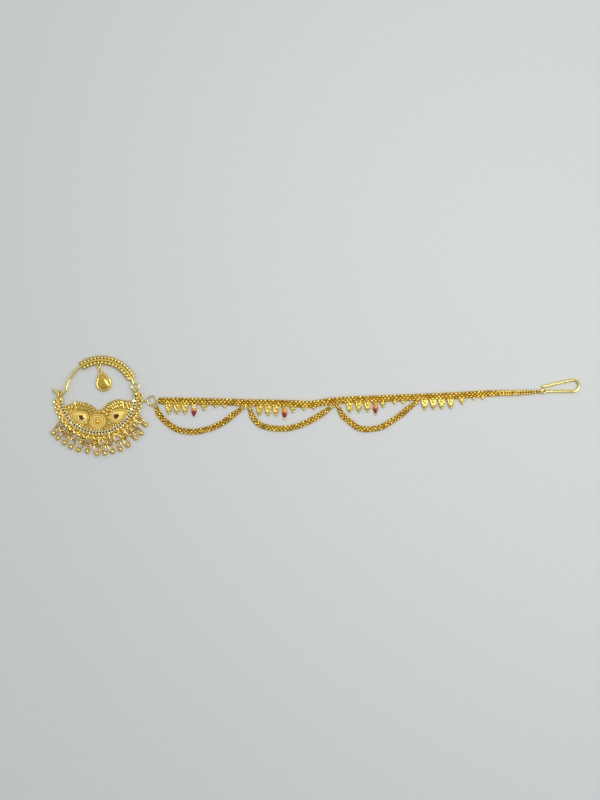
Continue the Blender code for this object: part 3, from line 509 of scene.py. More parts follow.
# The profiles' columns: share of the chevron's width, share of the gutter's, and offset and height in mm
bandProfile = [
    (0, 0, 0, 0.62), (0, 0, 0, 1.35), (0, 0, 0.12, 1.5), (0, 0, 0.3, 1.35), (0.5, 0, 0, 1.15),
    (1, 0, -0.25, 1.3), (1, 0, -0.05, 1.5), (1, 0, 0.1, 1.4), (1, 0.3, 0, 1.12), (1, 0.55, 0, 1.05),
    (1, 0.8, 0, 1.15), (1, 1, -0.05, 1.3), (1, 1, 0, 1.2), (1, 1, 0, 0), (0, 0, 1.0, 0), (0, 0, 1.0, 0.62),
]
bedProfile = [(0, 0, 0.2, 1.0), (0, 0, 0.2, 1.42), (0.5, 0, 0, 1.22), (1, 0, -0.1, 1.42), (1, 0, -0.1, 1.0)]


def makeBand(name, rows, margin, material, nodes=()):
    profile = [(crescent["innerRadius"] + crescent["chevronWidth"] * chevron
                + crescent["gutterWidth"] * gutter + offset * mm, height * mm)
               for chevron, gutter, offset, height in rows]
    band = spinBand(name, profile, crescentStart + margin, crescentSweep - 2 * margin, 96)
    finishPiece(band, material, nodes)


def makeCrescentEdge():
    wire = crescent["loopWire"] * crescent["loopSwell"]
    loop = arch("edgeLoop", crescent["loopRadius"], crescent["loopReach"], wire)
    bead = ball("edgeBead", crescent["beadRadius"], (0, 0, 0), 14, 8)
    parts = []
    for i in range(crescent["loops"]):
        angle = edgeLoopAngle(i)
        parts.append(copyOf(loop, facing(polar(bandOuter, angle, crescent["loopHeight"]), polar(1, angle))))
        if i:
            middle = (angle + edgeLoopAngle(i - 1)) / 2
            spot = polar(bandOuter + crescent["beadRadius"] * 0.55, middle, crescent["loopHeight"])
            parts.append(copyOf(bead, at(spot)))
    discard(loop, bead)

    for side in (-1, 1):
        tip, onward = crescentTip(side)
        centre = tip - onward * crescent["terminal"] * 0.3 + up * crescent["terminal"]
        parts.append(ball("terminal", crescent["terminal"], centre, 24, 14))
    for hinge, ring in ((hingeLeft, crescent["leftRing"]), (hingeRight, crescent["rightRing"])):
        parts.append(roundRing("tipRing", *ring, facing(hinge, up, swingAxis.cross(up))))
    finishPiece(joinPieces("crescentEdge", parts), ringGold, ["crescent"])


# A cut grain is a four-sided block with a smaller top
def makeChevronGrains():
    deselectAll()
    bpy.ops.mesh.primitive_cone_add(vertices=4, radius1=0.707, radius2=0.62, depth=1)
    grain = newest("grain")
    grain.data.transform(spin(pi / 4))
    with editing(grain):
        bpy.ops.mesh.bevel(offset=0.07, segments=1, affect="EDGES")
    grains = []
    notches = []
    inner = crescent["innerRadius"]
    width = crescent["chevronWidth"]
    step = crescentSweep / crescent["grains"]
    shape = stretch(crescent["grainLength"], crescent["grainWidth"], crescent["grainHeight"])
    for i in range(crescent["grains"]):
        angle = crescentStart + step * (i + 0.5)
        for row, slope in zip(crescent["grainRows"], (1, -1)):
            spot = polar(inner + width * row, angle, crescent["grainLevel"])
            turn = spin(angle + pi / 2 + slope * crescent["grainSlant"])
            roll = spin(crescent["grainTilt"] * slope + crescent["grainWobble"] * (i % 3 - 1), "X")
            grains.append(copyOf(grain, at(spot) @ turn @ roll @ shape))
        # Each notch is a near-black piece between the grains, painted shade where the gap falls dark
        spot = polar(inner + width * 0.5, angle + step * crescent["notchShift"], crescent["notchLevel"])
        notches.append(copyOf(grain, at(spot) @ spin(angle) @ stretch(*crescent["notch"])))
    discard(grain)
    finishPiece(joinPieces("chevronGrains", grains), grainGold, ["crescent"], 15)
    finishPiece(joinPieces("chevronNotches", notches), notchShade, (), 15)


makeBand("crescentBand", bandProfile, 0, gutterGold, ["crescent"])
makeBand("chevronBed", bedProfile, 0.01, chevronBed)
makeCrescentEdge()
makeChevronGrains()
print("crescent made")


hoop = lengths(
    radius=15.9, wire=1.15, eye=(1.65, 0.7), eyeOffset=0.45, tipReach=2.7, tipRise=2.3, ropeWidth=1.65,
    ropePitch=1.65, ropeBump=(2.05, 1.12, 1.5), ropeCore=0.42, hanger=(0.8, 1.15, 0.55),
) | {
    "endAngle": radians(172), "eyeAngle": radians(12.6),
    "hook": [(0.6, 0.22), (0.15, 0), (-0.25, 0.12), (-1, 1)], "ropeStart": radians(27),
    "ropeEnd": radians(125), "ropeSlant": radians(42), "hangerAngle": radians(94),
}
hoopEye = hingeRight + Vector((0, hoop["eye"][0], 0))
hoopCentre = hoopEye - polar(hoop["radius"] + hoop["eyeOffset"], hoop["eyeAngle"])
ropeOffset = hoop["wire"] / 2 + hoop["ropeWidth"] / 2 - solder / 2
ropeInner = hoop["radius"] - ropeOffset - hoop["ropeWidth"] / 2
ropeReach = hoopCentre.y + hoop["radius"] + ropeOffset - (hingeLeft.y + hingeRight.y) / 2
lean = asin((swingHeight - hoop["ropeWidth"] / 2 - floorGap) / ropeReach)
tilt = at(hingeLeft) @ spin(-lean, swingAxis) @ at(-hingeLeft)


def hoopArc(first, last, steps, radius):
    return [hoopCentre + polar(radius, first + (last - first) * i / steps) for i in range(steps + 1)]


def makeHoop():
    radius = hoop["radius"]
    hooked = hoopArc(hoop["eyeAngle"] + hoop["eye"][0] / radius, hoop["endAngle"], 90, radius)
    bend = [hooked[-1]]
    for along, rise in hoop["hook"]:
        bend.append(hingeLeft + Vector((hoop["tipReach"] * along, hoop["tipRise"] * rise, 0)))
    parts = [bendWire("hoopWire", hooked + smoothRoute(bend, 8)[1:], hoop["wire"] / 2, 5)]
    parts.append(ball("hookTip", hoop["wire"] / 2, bend[-1]))
    parts.append(roundRing("hoopEye", *hoop["eye"], at(hoopEye)))
    hanger = arch("hanger", *hoop["hanger"])
    spot = hoopCentre + polar(ropeInner, hoop["hangerAngle"])
    parts.append(moved(hanger, facing(spot, -polar(1, hoop["hangerAngle"]))))
    wire = moved(joinPieces("hoopWire", parts), tilt)
    finishPiece(wire, hoopGold, ["nose_hoop"], body="swinging")

    # Each twist of a rope shows as one slanting bump on its core wire
    bump = ball("ropeBump", 0.5, (0, 0, 0))
    bump.data.transform(stretch(*hoop["ropeBump"]))
    twists = []
    sweep = hoop["ropeEnd"] - hoop["ropeStart"]
    for side in (-1, 1):
        reach = radius + side * ropeOffset
        core = hoopArc(hoop["ropeStart"], hoop["ropeEnd"], 60, reach)
        twists.append(bendWire("ropeCore", core, hoop["ropeCore"]))
        count = round(reach * sweep / hoop["ropePitch"])
        for i in range(count):
            out = polar(1, hoop["ropeStart"] + sweep * (i + 0.5) / count)
            place = facing(hoopCentre + out * reach, leftOf(out), up)
            twists.append(copyOf(bump, place @ spin(-side * hoop["ropeSlant"], "Y")))
    discard(bump)
    ropes = moved(joinPieces("hoopRopes", twists), tilt)
    finishPiece(ropes, ropeGold, ["nose_hoop"], 60, body="swinging")


makeHoop()
print("hoop made")


pendant = lengths(
    link=(0.75, 0.45), eye=(0.7, 0.5, 1.0), radius=3.65, length=6.2, thickness=1.7, wall=0.92, floor=0.6,
    stoneRise=0.75, seatGap=0.12,
) | {
    "direction": radians(-75), "rounding": 8,
}


def makePendant():
    hangerRadius, hangerReach, hangerWire = hoop["hanger"]
    hangPoint = hoopCentre + polar(ropeInner - (hangerReach - hangerWire / 2) / 2, hoop["hangerAngle"])
    linkRadius, linkWire = pendant["link"]
    eyeRadius, eyeWire, eyeHeight = pendant["eye"]
    linkLength = hangerReach / 2 + hangerWire * 0.75 + eyeWire + linkWire / 2 + 2 * linkGap
    along = polar(1, pendant["direction"])
    hung = tilt @ hangPoint
    eyeCentre = Vector((hung.x, hung.y, 0)) + along * linkLength
    eyeCentre.z = eyeHeight
    link = ovalRing("pendantLink", linkRadius, linkWire, linkLength)
    moved(link, facing((hung + eyeCentre) / 2, eyeCentre - hung, up))
    finishPiece(link, hoopGold, ["pendant_link"], body="swinging")

    wall = pendant["wall"]
    radius = pendant["radius"]
    centre = eyeCentre + along * (eyeRadius - eyeWire / 2 - solder + pendant["length"])
    centre.z = floorGap
    steps = [(pendant["thickness"] * 0.55, 1)]
    reach = 0
    level = 0
    for i in range(1, pendant["rounding"] + 1):
        angle = pi * i / pendant["rounding"]
        drawn = wall * (1 - cos(angle)) / 2 + 0.03 * mm * i
        rise = sin(angle) * pendant["thickness"] * 0.42
        steps.append((rise - level, (radius - drawn) / (radius - reach)))
        reach, level = drawn, rise
    steps.append((-0.3 * mm, 0.98))
    bezel = pressUp(flatShape("pendantBezel", pearOutline(radius, pendant["length"], 64)), steps)
    moved(bezel, facing(centre, -along))
    eye = roundRing("pendantEye", eyeRadius, eyeWire, at(eyeCentre))
    collar = joinPieces("pendantBezel", [bezel, eye])
    finishPiece(collar, hoopGold, ["pendant_bezel"], 80, body="swinging")

    inner = radius - wall - pendant["seatGap"]
    length = pendant["length"] * inner / radius
    stone = pressUp(flatShape("pendantStone", pearOutline(inner, length, 14)), [
        (pendant["thickness"] - pendant["floor"] - 2.5 * pendant["seatGap"], 1),
        (pendant["stoneRise"] * 0.45, 0.78), (pendant["stoneRise"] * 0.3, 0.66),
    ])
    moved(stone, facing(centre + up * (pendant["floor"] + pendant["seatGap"]), -along))
    finishPiece(stone, champagne, ["pendant_stone"], 5, body="swinging")


makePendant()
print("pendant made")


gallery = lengths(
    thickness=0.5, leafLength=2.7, leafWidth=1.2, leafPitch=1.38, leafRows=[(0.0, 0.0), (1.7, -0.1)],
    bead=0.34, ring=(0.6, 0.36), ringPlace=(-9.5, -3.6, 1.1), tallLeaf=(-10.9, -5.9, 0.95),
) | {
    "edge": [(0.0, 0.455), (0.105, 0.405), (0.178, 0.33), (0.27, 0.265), (0.39, 0.21), (0.5, 0.185),
             (0.59, 0.18), (0.69, 0.215), (0.785, 0.23), (0.88, 0.245)],
    "leafLean": 0.45, "innerBeads": 38, "innerMargin": (0.42 * mm, radians(14)), "innerSwell": 1.35,
    "tallSwell": 1.25,
    "beads": [(0.5, -7.8, 0.66), (-5.2, -9.0, 0.5), (6.2, -8.6, 0.5), (-4.6, -10.6, 0.6),
              (4.6, -10.4, 0.6), (-5.4, -12.9, 0.62), (4.9, -13.0, 0.62), (-7.2, -13.9, 0.5),
              (6.9, -13.6, 0.5), (-3.4, -15.2, 0.5), (2.9, -15.3, 0.5), (-1.9, -7.9, 0.45),
              (2.9, -7.9, 0.45), (-3.6, -8.6, 0.42), (4.4, -7.4, 0.42)],
}
plaque = lengths(
    radius=3.2, length=6.8, height=0.95, margin=0.35, base=0.62, stone=(0.9, 1.9), rosetteRadius=3.75,
    rosetteStone=0.95, collar=0.16, collarGap=0.12,
) | {
    "places": [("left", radians(234.6), radians(154.5)), ("right", radians(309.4), radians(27.0))],
    "rosetteAngle": radians(268.7),
}


# A curled leaf: root at the origin, tip along X, with a rib down its middle
def makeLeaf(length, width):
    deselectAll()
    bpy.ops.mesh.primitive_grid_add(x_subdivisions=6, y_subdivisions=4, size=1)
    leaf = newest("galleryLeaf")
    for vertex in leaf.data.vertices:
        share = vertex.co.x + 0.5
        fullness = sin(pi * min(1.0, 0.12 + share * 0.83)) ** 0.8
        side = vertex.co.y * 2
        height = (0.75 - 0.5 * abs(side) + 0.35 * sin(pi * share)) * 0.6 * mm
        vertex.co = Vector((share * length, side * fullness * width / 2, height))
    activate(leaf)
    bpy.ops.object.modifier_add(type="SOLIDIFY")
    leaf.modifiers["Solidify"].thickness = 0.3 * mm
    bpy.ops.object.modifier_apply(modifier="Solidify")
    bpy.ops.object.modifier_add(type="SUBSURF")
    leaf.modifiers["Subdivision"].levels = 1
    leaf.modifiers["Subdivision"].render_levels = 1
    bpy.ops.object.modifier_apply(modifier="Subdivision")
    return leaf


def routeLength(points):
    return sum((b - a).length for a, b in zip(points, points[1:]))


def alongEdge(points, distance):
    for a, b in zip(points, points[1:]):
        step = (b - a).length
        if distance <= step:
            return a.lerp(b, distance / step), (b - a).normalized()
        distance -= step


def makeGallery():
    turn = spin(crescent["turn"])
    corners = [Vector((x, -y, 0)) * crescent["innerRadius"] for x, y in gallery["edge"]]
    leaf = makeLeaf(gallery["leafLength"], gallery["leafWidth"])
    bead = ball("bead", gallery["bead"], (0, 0, 0), 12, 8)
    parts = []
    for side in (-1, 1):
        edge = [Vector((corner.x * side, corner.y, 0)) for corner in corners]
        length = routeLength(edge)
        count = round(length / gallery["leafPitch"])
        for i in range(count):
            spot, ahead = alongEdge(edge, length * (i + 0.5) / count)
            outward = leftOf(ahead) * side
            aim = (outward - ahead * gallery["leafLean"]).normalized()
            for depth, lift in gallery["leafRows"]:
                root = spot + outward * 0.15 * mm - aim * (gallery["leafLength"] + depth)
                root.z = gallery["thickness"] - 0.12 * mm + lift
                parts.append(copyOf(leaf, turn @ facing(root, aim + up * 0.05)))
            foot = spot + outward * 0.05 * mm + ahead * gallery["leafPitch"] / 2
            parts.append(copyOf(bead, turn @ at(foot + up * 0.62 * mm)))
    inset, margin = gallery["innerMargin"]
    for i in range(gallery["innerBeads"]):
        share = i / (gallery["innerBeads"] - 1)
        angle = crescentStart + margin + (crescentSweep - 2 * margin) * share
        spot = polar(crescent["innerRadius"] - inset, angle, 0.85 * mm)
        parts.append(copyOf(bead, at(spot) @ Matrix.Scale(gallery["innerSwell"], 4)))
    tall = facing(Vector(gallery["tallLeaf"]), Vector((0.1, 1, 0.1)))
    parts.append(copyOf(leaf, tall @ Matrix.Scale(gallery["tallSwell"], 4)))
    discard(leaf, bead)
    for x, y, radius in gallery["beads"]:
        parts.append(ball("galleryBead", radius * mm, Vector((x, y, 1.05)) * mm))
    parts.append(roundRing("galleryRing", *gallery["ring"], at(gallery["ringPlace"])))
    finishPiece(joinPieces("galleryLeaves", parts), galleryGold, (), 60)
    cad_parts["gallery"].data.materials[0] = galleryBed


def makePlaques():
    inner = crescent["innerRadius"]
    height = plaque["height"]
    rim = [(height * 0.55, 1), (0.16 * mm, 0.985), (0.12 * mm, 0.955), (0.0, 0.9),
           (-0.3 * mm, 0.975), (0.0, 0.94), (0.16 * mm, 0.975)]
    for side, angle, direction in plaque["places"]:
        centre = polar(inner - plaque["margin"] - plaque["radius"], angle, plaque["base"])
        toward = polar(1, direction)
        field = rim + [(0.0, 0.6), (0.05 * mm, 0.9), (0.0, 0.8)]
        plate = pressUp(flatShape("plaque", pearOutline(plaque["radius"], plaque["length"], 60)), field)
        moved(plate, facing(centre, toward))
        finishPiece(plate, plaqueGold, ["plaque_" + side], 30)

        radius, length = plaque["stone"]
        ring = pearOutline(radius + plaque["collarGap"], length + 2 * plaque["collarGap"], 36)
        collar = bendWire("stoneCollar", ring, plaque["collar"], closed=True)
        moved(collar, facing(centre + up * height * 0.84, toward))
        finishPiece(collar, galleryGold)
        stone = pressUp(flatShape("plaqueStone", pearOutline(radius, length, 24)), [
            (0.4 * mm, 1), (0.14 * mm, 0.8), (0.1 * mm, 0.55),
        ])
        moved(stone, facing(centre + up * (height * 0.68), toward))
        finishPiece(stone, darkRed, ["plaque_stone_" + side], 10)

    centre = polar(inner - plaque["margin"] - plaque["rosetteRadius"], plaque["rosetteAngle"], plaque["base"])
    outline = [polar(plaque["rosetteRadius"], 2 * pi * i / 64) for i in range(64)]
    disc = pressUp(flatShape("rosette", outline), rim + [
        (0.0, 0.74), (-0.16 * mm, 0.97), (0.0, 0.92), (0.16 * mm, 0.96),
        (0.0, 0.7), (-0.16 * mm, 0.94), (0.0, 0.9), (0.2 * mm, 0.92),
    ])
    moved(disc, at(centre))
    finishPiece(disc, plaqueGold, ["rosette"], 30)
    dot = ball("rosetteStone", plaque["rosetteStone"], (0, 0, 0), 20, 12)
    moved(dot, at(centre + up * height * 0.9) @ stretch(1, 1, 0.5))
    finishPiece(dot, orange, ["rosette_stone"])


makeGallery()
makePlaques()
print("gallery, plaques and rosette made")


fringe = lengths(
    ring=(1.35, 0.62, 4.0), eye=(1.15, 0.58, 3.5), eyeReach=3.2, hold=0.435, ball=1.12, collar=(0.52, 0.32),
    eyeLow=0.95, short=(1.05, 0.55, 2.9), shortLow=0.75,
) | {
    "steepness": 0.4, "eyeRoll": radians(60), "shortRoll": radians(70), "shortFan": radians(3),
    # Columns: the edge loop it hangs in, the ball's direction and the ring's roll in degrees, slack in mm
    "rows": [
        (4, 220.5, 36.0, 0.0), (5, 227.3, -50.0, 0.0), (6, 235.1, 48.0, 0.0), (7, 242.9, -24.0, 0.0),
        (9, 250.0, -50.0, 0.2), (10, 259.2, 46.0, 0.7), (11, 269.2, -30.0, 0.0), (12, 276.9, 50.0, 0.0),
        (13, 284.8, -48.0, 0.1), (15, 291.9, 50.0, 0.0), (16, 300.6, -44.0, 0.1), (17, 311.5, 30.0, 0.8),
        (18, 318.8, -50.0, 0.5), (20, 327.0, 46.0, 1.3),
    ],
}


def rolled(along, roll):
    return spin(roll, along) @ along.cross(up).cross(along)


def makeFringe():
    ringRadius, ringWire, ringLength = fringe["ring"]
    eyeLength = fringe["eyeReach"]
    radius = fringe["ball"]
    reach = ringLength + eyeLength + radius
    oval = ovalRing("ring", *fringe["ring"])
    eye = ovalRing("eye", *fringe["eye"])
    short = ovalRing("shortRing", *fringe["short"])
    drop = ball("drop", radius, (0, 0, 0), 24, 14)
    collar = roundRing("collar", *fringe["collar"], Matrix(), 16, 8)
    rings = []
    drops = []
    for loop, ballDegrees, rollDegrees, slack in fringe["rows"]:
        start = polar(edgeHole, edgeLoopAngle(loop))
        aim = (polar(edgeHole + reach, radians(ballDegrees)) - start).normalized()
        roll = radians(copysign(90 - (90 - abs(rollDegrees)) * fringe["steepness"], rollDegrees))
        start.z = crescent["loopHeight"]
        end = start + aim * ringLength
        end.z = ringRadius * cos(roll) + ringWire / 2 + 2 * floorGap
        along = (end - start).normalized()
        rings.append(copyOf(oval, facing(start + along * ringLength / 2, along, rolled(along, roll))))
        eyeStart = start + along * (ringLength - fringe["hold"] - linkGap - slack * mm)
        centre = eyeStart + along * (eyeLength + radius - solder)
        centre.z = radius + floorGap
        eyeAlong = (centre - eyeStart).normalized()
        eyeStart.z = max(eyeStart.z, fringe["eyeLow"])
        side = rolled(eyeAlong, -copysign(fringe["eyeRoll"], roll))
        drops.append(copyOf(eye, facing(eyeStart + eyeAlong * (eyeLength / 2 + 0.1 * mm), -eyeAlong, side)))
        drops.append(copyOf(drop, at(centre)))
        standing = rolled(eyeAlong, 0)
        place = facing(centre - eyeAlong * radius * 0.93, standing, eyeAlong.cross(standing))
        drops.append(copyOf(collar, place))
    length = fringe["short"][2]
    lean = -1
    for row, after in zip(fringe["rows"], fringe["rows"][1:]):
        angle = (edgeLoopAngle(row[0]) + edgeLoopAngle(after[0])) / 2
        start = polar(edgeHole - 0.1 * mm, angle, crescent["loopHeight"] * 0.8)
        end = polar(edgeHole + length, angle + fringe["shortFan"] * lean, fringe["shortLow"])
        along = (end - start).normalized()
        place = facing(start + along * length / 2, along, rolled(along, fringe["shortRoll"] * lean))
        rings.append(copyOf(short, place))
        lean = -lean
    discard(oval, eye, drop, collar, short)
    for name, pieces, node in (("fringeRings", rings, "ring"), ("fringeDrops", drops, "ball")):
        nodes = [f"fringe_{node}_{i:02d}" for i in range(1, len(fringe["rows"]) + 1)]
        finishPiece(joinPieces(name, pieces), fringeGold, nodes)


makeFringe()
print("fringe made")


links = lengths(
    side=(0.75, 0.45, 3.9), jump=(2.2, 0.6, 1.0),
) | {
    "sideLoop": 23, "firstSwagAngle": radians(-52),
}
chain = lengths(
    width=3.0, thickness=1.2, endLoop=(0.72, 1.7, 0.45), enamelLoop=1.35, eye=(0.7, 1.15, 0.5, 0.9),
    tail=(157.5, 176.0), tailBead=0.62,
) | {
    "startShare": 0.65, "columns": (1, -1, 1), "tailBeads": 15,
    # Columns: distance along and across in mm, and share of the full width
    "route": [(3.0, 0.0, 1.0), (19.3, -0.2, 1.0), (37.7, -0.65, 1.0), (60.7, -1.1, 1.0), (69.9, -1.6, 1.0),
              (79.1, -0.2, 1.0), (88.3, 0.5, 1.0), (111.3, 1.4, 1.0), (134.3, 2.3, 1.0), (148.0, 3.2, 0.95),
              (157.0, 3.6, 0.85), (166.5, 3.8, 0.75), (177.5, 4.4, 0.5)],
}
swag = lengths(
    width=2.5, thickness=1.1, taper=5.0,
) | {
    "endShare": 0.55, "columns": (1, -1, 1),
    "knot": [(0.1, -0.7, 0.5), (0.1, 0.7, 0.5), (1.0, -0.45, 0.48), (1.0, 0.45, 0.48)], "knotLevel": 1.1,
    # Columns: first and last place along the chain in mm, and the sag as shares along and across the span
    "rows": [
        (None, 39.9, [(0.06, 0.12), (0.15, 0.21), (0.27, 0.28), (0.43, 0.30), (0.55, 0.28),
                      (0.67, 0.24), (0.78, 0.18), (0.89, 0.09)]),
        (42.3, 80.3, [(0.04, 0.12), (0.13, 0.22), (0.27, 0.26), (0.43, 0.27), (0.58, 0.24),
                      (0.73, 0.18), (0.84, 0.12), (0.93, 0.06)]),
        (82.7, 119.6, [(0.05, 0.12), (0.15, 0.22), (0.25, 0.30), (0.38, 0.32), (0.53, 0.30),
                       (0.65, 0.24), (0.78, 0.16), (0.88, 0.08)]),
    ],
}
weave = lengths(
    pitch=1.75, lift=0.24, liftSize=1.1,
) | {
    "span": 0.94, "slant": radians(28), "grain": (0.54, 0.5, 0.46), "ends": (0.125, 0.375, 0.625, 0.875),
    "end": (0.11, 0.06, 0.3), "core": (0.86, 0.45),
}
drops = lengths(
    boss=(1.0925, 0.95, 0.45), bossPlace=(0.1, 0, 0.42), enamel=(1.3, 3.0, 1.1), neck=(3.2, 2.2, 1.1),
    tipBead=0.52,
) | {
    # Columns: the plate's radius and tip, its place below the chain's edge, its rim, its beads, its places
    "kinds": [
        (1.48, 2.35, 0.5, 0.26, [(2.1, -0.85, 0.6), (2.1, 0.85, 0.6), (3.4, 0, 0.62), (2.35, 0, 0.6)],
         [5.5, 9.2, 12.9, 47.1, 51.1, 54.7, 88.3, 92.5, 96.5, 122.8, 126.7, 130.5, 134.6]),
        (0.7, 1.7, 0.4, 0, [(0.25, -0.86, 0.6), (0.25, 0.86, 0.6), (1.7, 0, 0.64), (0.75, 0, 0.5)],
         [21.6, 62.6, 103.6, 139.8]),
        (0.45, 1.0, 0, 0, [(0.1, -0.5, 0.44), (0.1, 0.5, 0.44), (0.9, 0, 0.48)],
         [26.7, 31.0, 67.4, 71.8, 109.0, 112.9, 145.4, 149.5]),
    ],
    "height": 1.5, "enamelPlaces": [16.9, 58.6, 100.1],
    "crown": [(-1.5, -0.5, 0.52, 1.3), (-1.5, 0.5, 0.52, 1.3), (-2.2, 0, 0.55, 1.6),
              (-2.6, -0.55, 0.45, 1.5), (-2.6, 0.55, 0.45, 1.5)],
}
sideHole = polar(edgeHole, edgeLoopAngle(links["sideLoop"]), crescent["loopHeight"])
sideGrip = links["jump"][1] / 2 + links["side"][1] / 2 + linkGap
jumpCentre = sideHole + Vector((links["side"][2] - sideGrip + links["jump"][0], 0, 0))
jumpCentre.z = links["jump"][2]
loopGrip = links["jump"][1] / 2 + chain["endLoop"][2] / 2 + linkGap
bandLead = chain["endLoop"][1] - solder
chainStart = Vector((jumpCentre.x + links["jump"][0], jumpCentre.y, 0))
routeRows = [Vector((-loopGrip, 0, chain["startShare"]))]
routeRows += [Vector((x * mm, y * mm, share)) for x, y, share in chain["route"]]
routeRows = smoothRoute(routeRows, 3)
chainRoute = [chainStart + Vector((row.x, row.y, 0)) for row in routeRows]
chainShares = [row.z for row in routeRows]


def chainPlace(distance):
    for a, b, shareA, shareB in zip(chainRoute, chainRoute[1:], chainShares, chainShares[1:]):
        if a.x <= chainStart.x + distance <= b.x:
            t = (chainStart.x + distance - a.x) / (b.x - a.x)
            return a.lerp(b, t), chain["width"] / 2 * (shareA + (shareB - shareA) * t), (b - a).normalized()


def belowChain(distance, depth):
    middle, half, ahead = chainPlace(distance)
    down = -leftOf(ahead)
    return middle + down * (half + depth), down


def hangingEye(distance):
    return belowChain(distance, (chain["eye"][1] - chain["eye"][2] / 2) / 2)


def makeLinks():
    radius, wire, height = links["jump"]
    sideRadius, sideWire, sideLength = links["side"]
    far = Vector((jumpCentre.x - radius + sideGrip, jumpCentre.y, height))
    link = ovalRing("sideLink", sideRadius, sideWire, sideLength)
    moved(link, facing((sideHole + far) / 2, far - sideHole, up))
    finishPiece(link, ringGold, ["side_link"])
    ring = roundRing("jumpRing", radius, wire, at(jumpCentre), 40, 12)
    finishPiece(ring, ringGold, ["jump_ring"])


# One stitch of the weave: slanting wires side by side, and a row of tiny wire ends along each edge
def makeStitch(width, thickness, pitch, columns):
    grain = ball("grain", 1.0, (0, 0, 0), 10, 6)
    parts = []
    span = width * weave["span"]
    wide = span / len(columns)
    long, broad, high = weave["grain"]
    shape = stretch(pitch * long, wide * broad, thickness * high)
    for column, slope in enumerate(columns):
        spot = at(((0.5 + 0.25 * slope) * pitch, (column + 0.5) * wide - span / 2, thickness * 0.5))
        parts.append(copyOf(grain, spot @ spin(weave["slant"] * slope) @ shape))
    long, broad, high = weave["end"]
    shape = stretch(pitch * long, width * broad, thickness * high)
    for side in (-1, 1):
        for share in weave["ends"]:
            spot = at((share * pitch, side * span / 2, thickness * 0.55))
            parts.append(copyOf(grain, spot @ shape))
    discard(grain)
    return joinPieces("stitch", parts)


# Repeats a piece along X and bends the row along the route
def layAlong(piece, points, shares, count, pitch):
    line = bpy.data.curves.new("route", "CURVE")
    line.dimensions = "2D"
    line.resolution_u = 4
    line.use_radius = True
    line.use_path = True
    spline = line.splines.new("POLY")
    spline.points.add(len(points) - 1)
    for target, point, share in zip(spline.points, points, shares):
        target.co = (point.x, point.y, 0, 1)
        target.radius = share
    route = bpy.data.objects.new("route", line)
    bpy.context.scene.collection.objects.link(route)
    activate(piece)
    bpy.ops.object.modifier_add(type="ARRAY")
    rows = piece.modifiers["Array"]
    rows.count = count
    rows.use_relative_offset = False
    rows.use_constant_offset = True
    rows.constant_offset_displace = (pitch, 0, 0)
    rows.use_merge_vertices = True
    rows.merge_threshold = 0.001 * mm
    bpy.ops.object.modifier_apply(modifier="Array")
    bpy.ops.object.modifier_add(type="CURVE")
    piece.modifiers["Curve"].object = route
    bpy.ops.object.modifier_apply(modifier="Curve")
    discard(route)


def wovenBand(name, points, shares, look, node):
    width = look["width"]
    thickness = look["thickness"]
    length = routeLength(points) - 2 * bandLead
    count = round(length / weave["pitch"])
    pitch = length / count
    wires = makeStitch(width, thickness, pitch, look["columns"])
    wires.data.transform(at((bandLead, 0, floorGap)))
    layAlong(wires, points, shares, count, pitch)
    for vertex in wires.data.vertices:  # hand-woven wires never lie quite level
        lift = noise.noise(vertex.co / weave["liftSize"]) * weave["lift"]
        vertex.co.z = max(vertex.co.z + lift, floorGap)
    finishPiece(wires, weaveGold, [node], 180)
    wires.name = name + "Weave"

    # The core under the wires, dark brown as painted shade in the gaps between them
    bpy.ops.mesh.primitive_cube_add(size=1)
    core = newest("core")
    broad, high = weave["core"]
    core.data.transform(stretch(pitch, width * broad, thickness * high))
    core.data.transform(at((bandLead + pitch / 2, 0, floorGap + thickness / 2)))
    with editing(core, "FACE"):
        bpy.ops.mesh.select_all(action="DESELECT")
        bpy.ops.object.mode_set(mode="OBJECT")
        for face in core.data.polygons:
            face.select = abs(face.normal.x) > 0.9
        bpy.ops.object.mode_set(mode="EDIT")
        bpy.ops.mesh.delete(type="ONLY_FACE")
    layAlong(core, points, shares, count, pitch)
    with editing(core, "FACE"):
        bpy.ops.mesh.fill_holes(sides=4)
    core.name = name + "Core"
    finishPiece(core, weaveBed, [node])


def endLoop(hole, along, length):
    radius, _, wire = chain["endLoop"]
    loop = arch("endLoop", radius, length, wire)
    height = radius + wire / 2 + floorGap
    return moved(loop, facing(Vector((hole.x, hole.y, height)) + along * length, -along, up))


# The chain's last stretch is two rows of beads that grow smaller towards the hook
def makeTail():
    first, last = chain["tail"]
    beads = []
    for i in range(chain["tailBeads"] + 1):
        middle, half, ahead = chainPlace(first + (last - first) * i / chain["tailBeads"])
        size = min(half * 0.52, chain["tailBead"])
        middle += up * (chain["thickness"] - size * 0.35)
        for side in (-1, 1):
            spot = middle + leftOf(ahead) * side * (half - size * 0.9)
            beads.append(ball("tailBead", size, spot, 12, 8))
    finishPiece(joinPieces("tailBeads", beads), leafGold)


def makeChain():
    wovenBand("chain", chainRoute, chainShares, chain, "hair_chain")
    loops = []
    for hole, near in ((chainRoute[0], chainRoute[1]), (chainRoute[-1], chainRoute[-2])):
        loops.append(endLoop(hole, (near - hole).normalized(), chain["endLoop"][1]))
    radius, reach, wire, height = chain["eye"]
    places = [spot for first, last, shape in swag["rows"] for spot in (first, last) if spot is not None]
    for spot in places + drops["enamelPlaces"]:
        foot, down = belowChain(spot * mm, 0)
        loops.append(moved(arch("chainEye", radius, reach, wire), facing(foot + up * height, down)))
    finishPiece(joinPieces("chainLoops", loops), ringGold, ["hair_chain"])


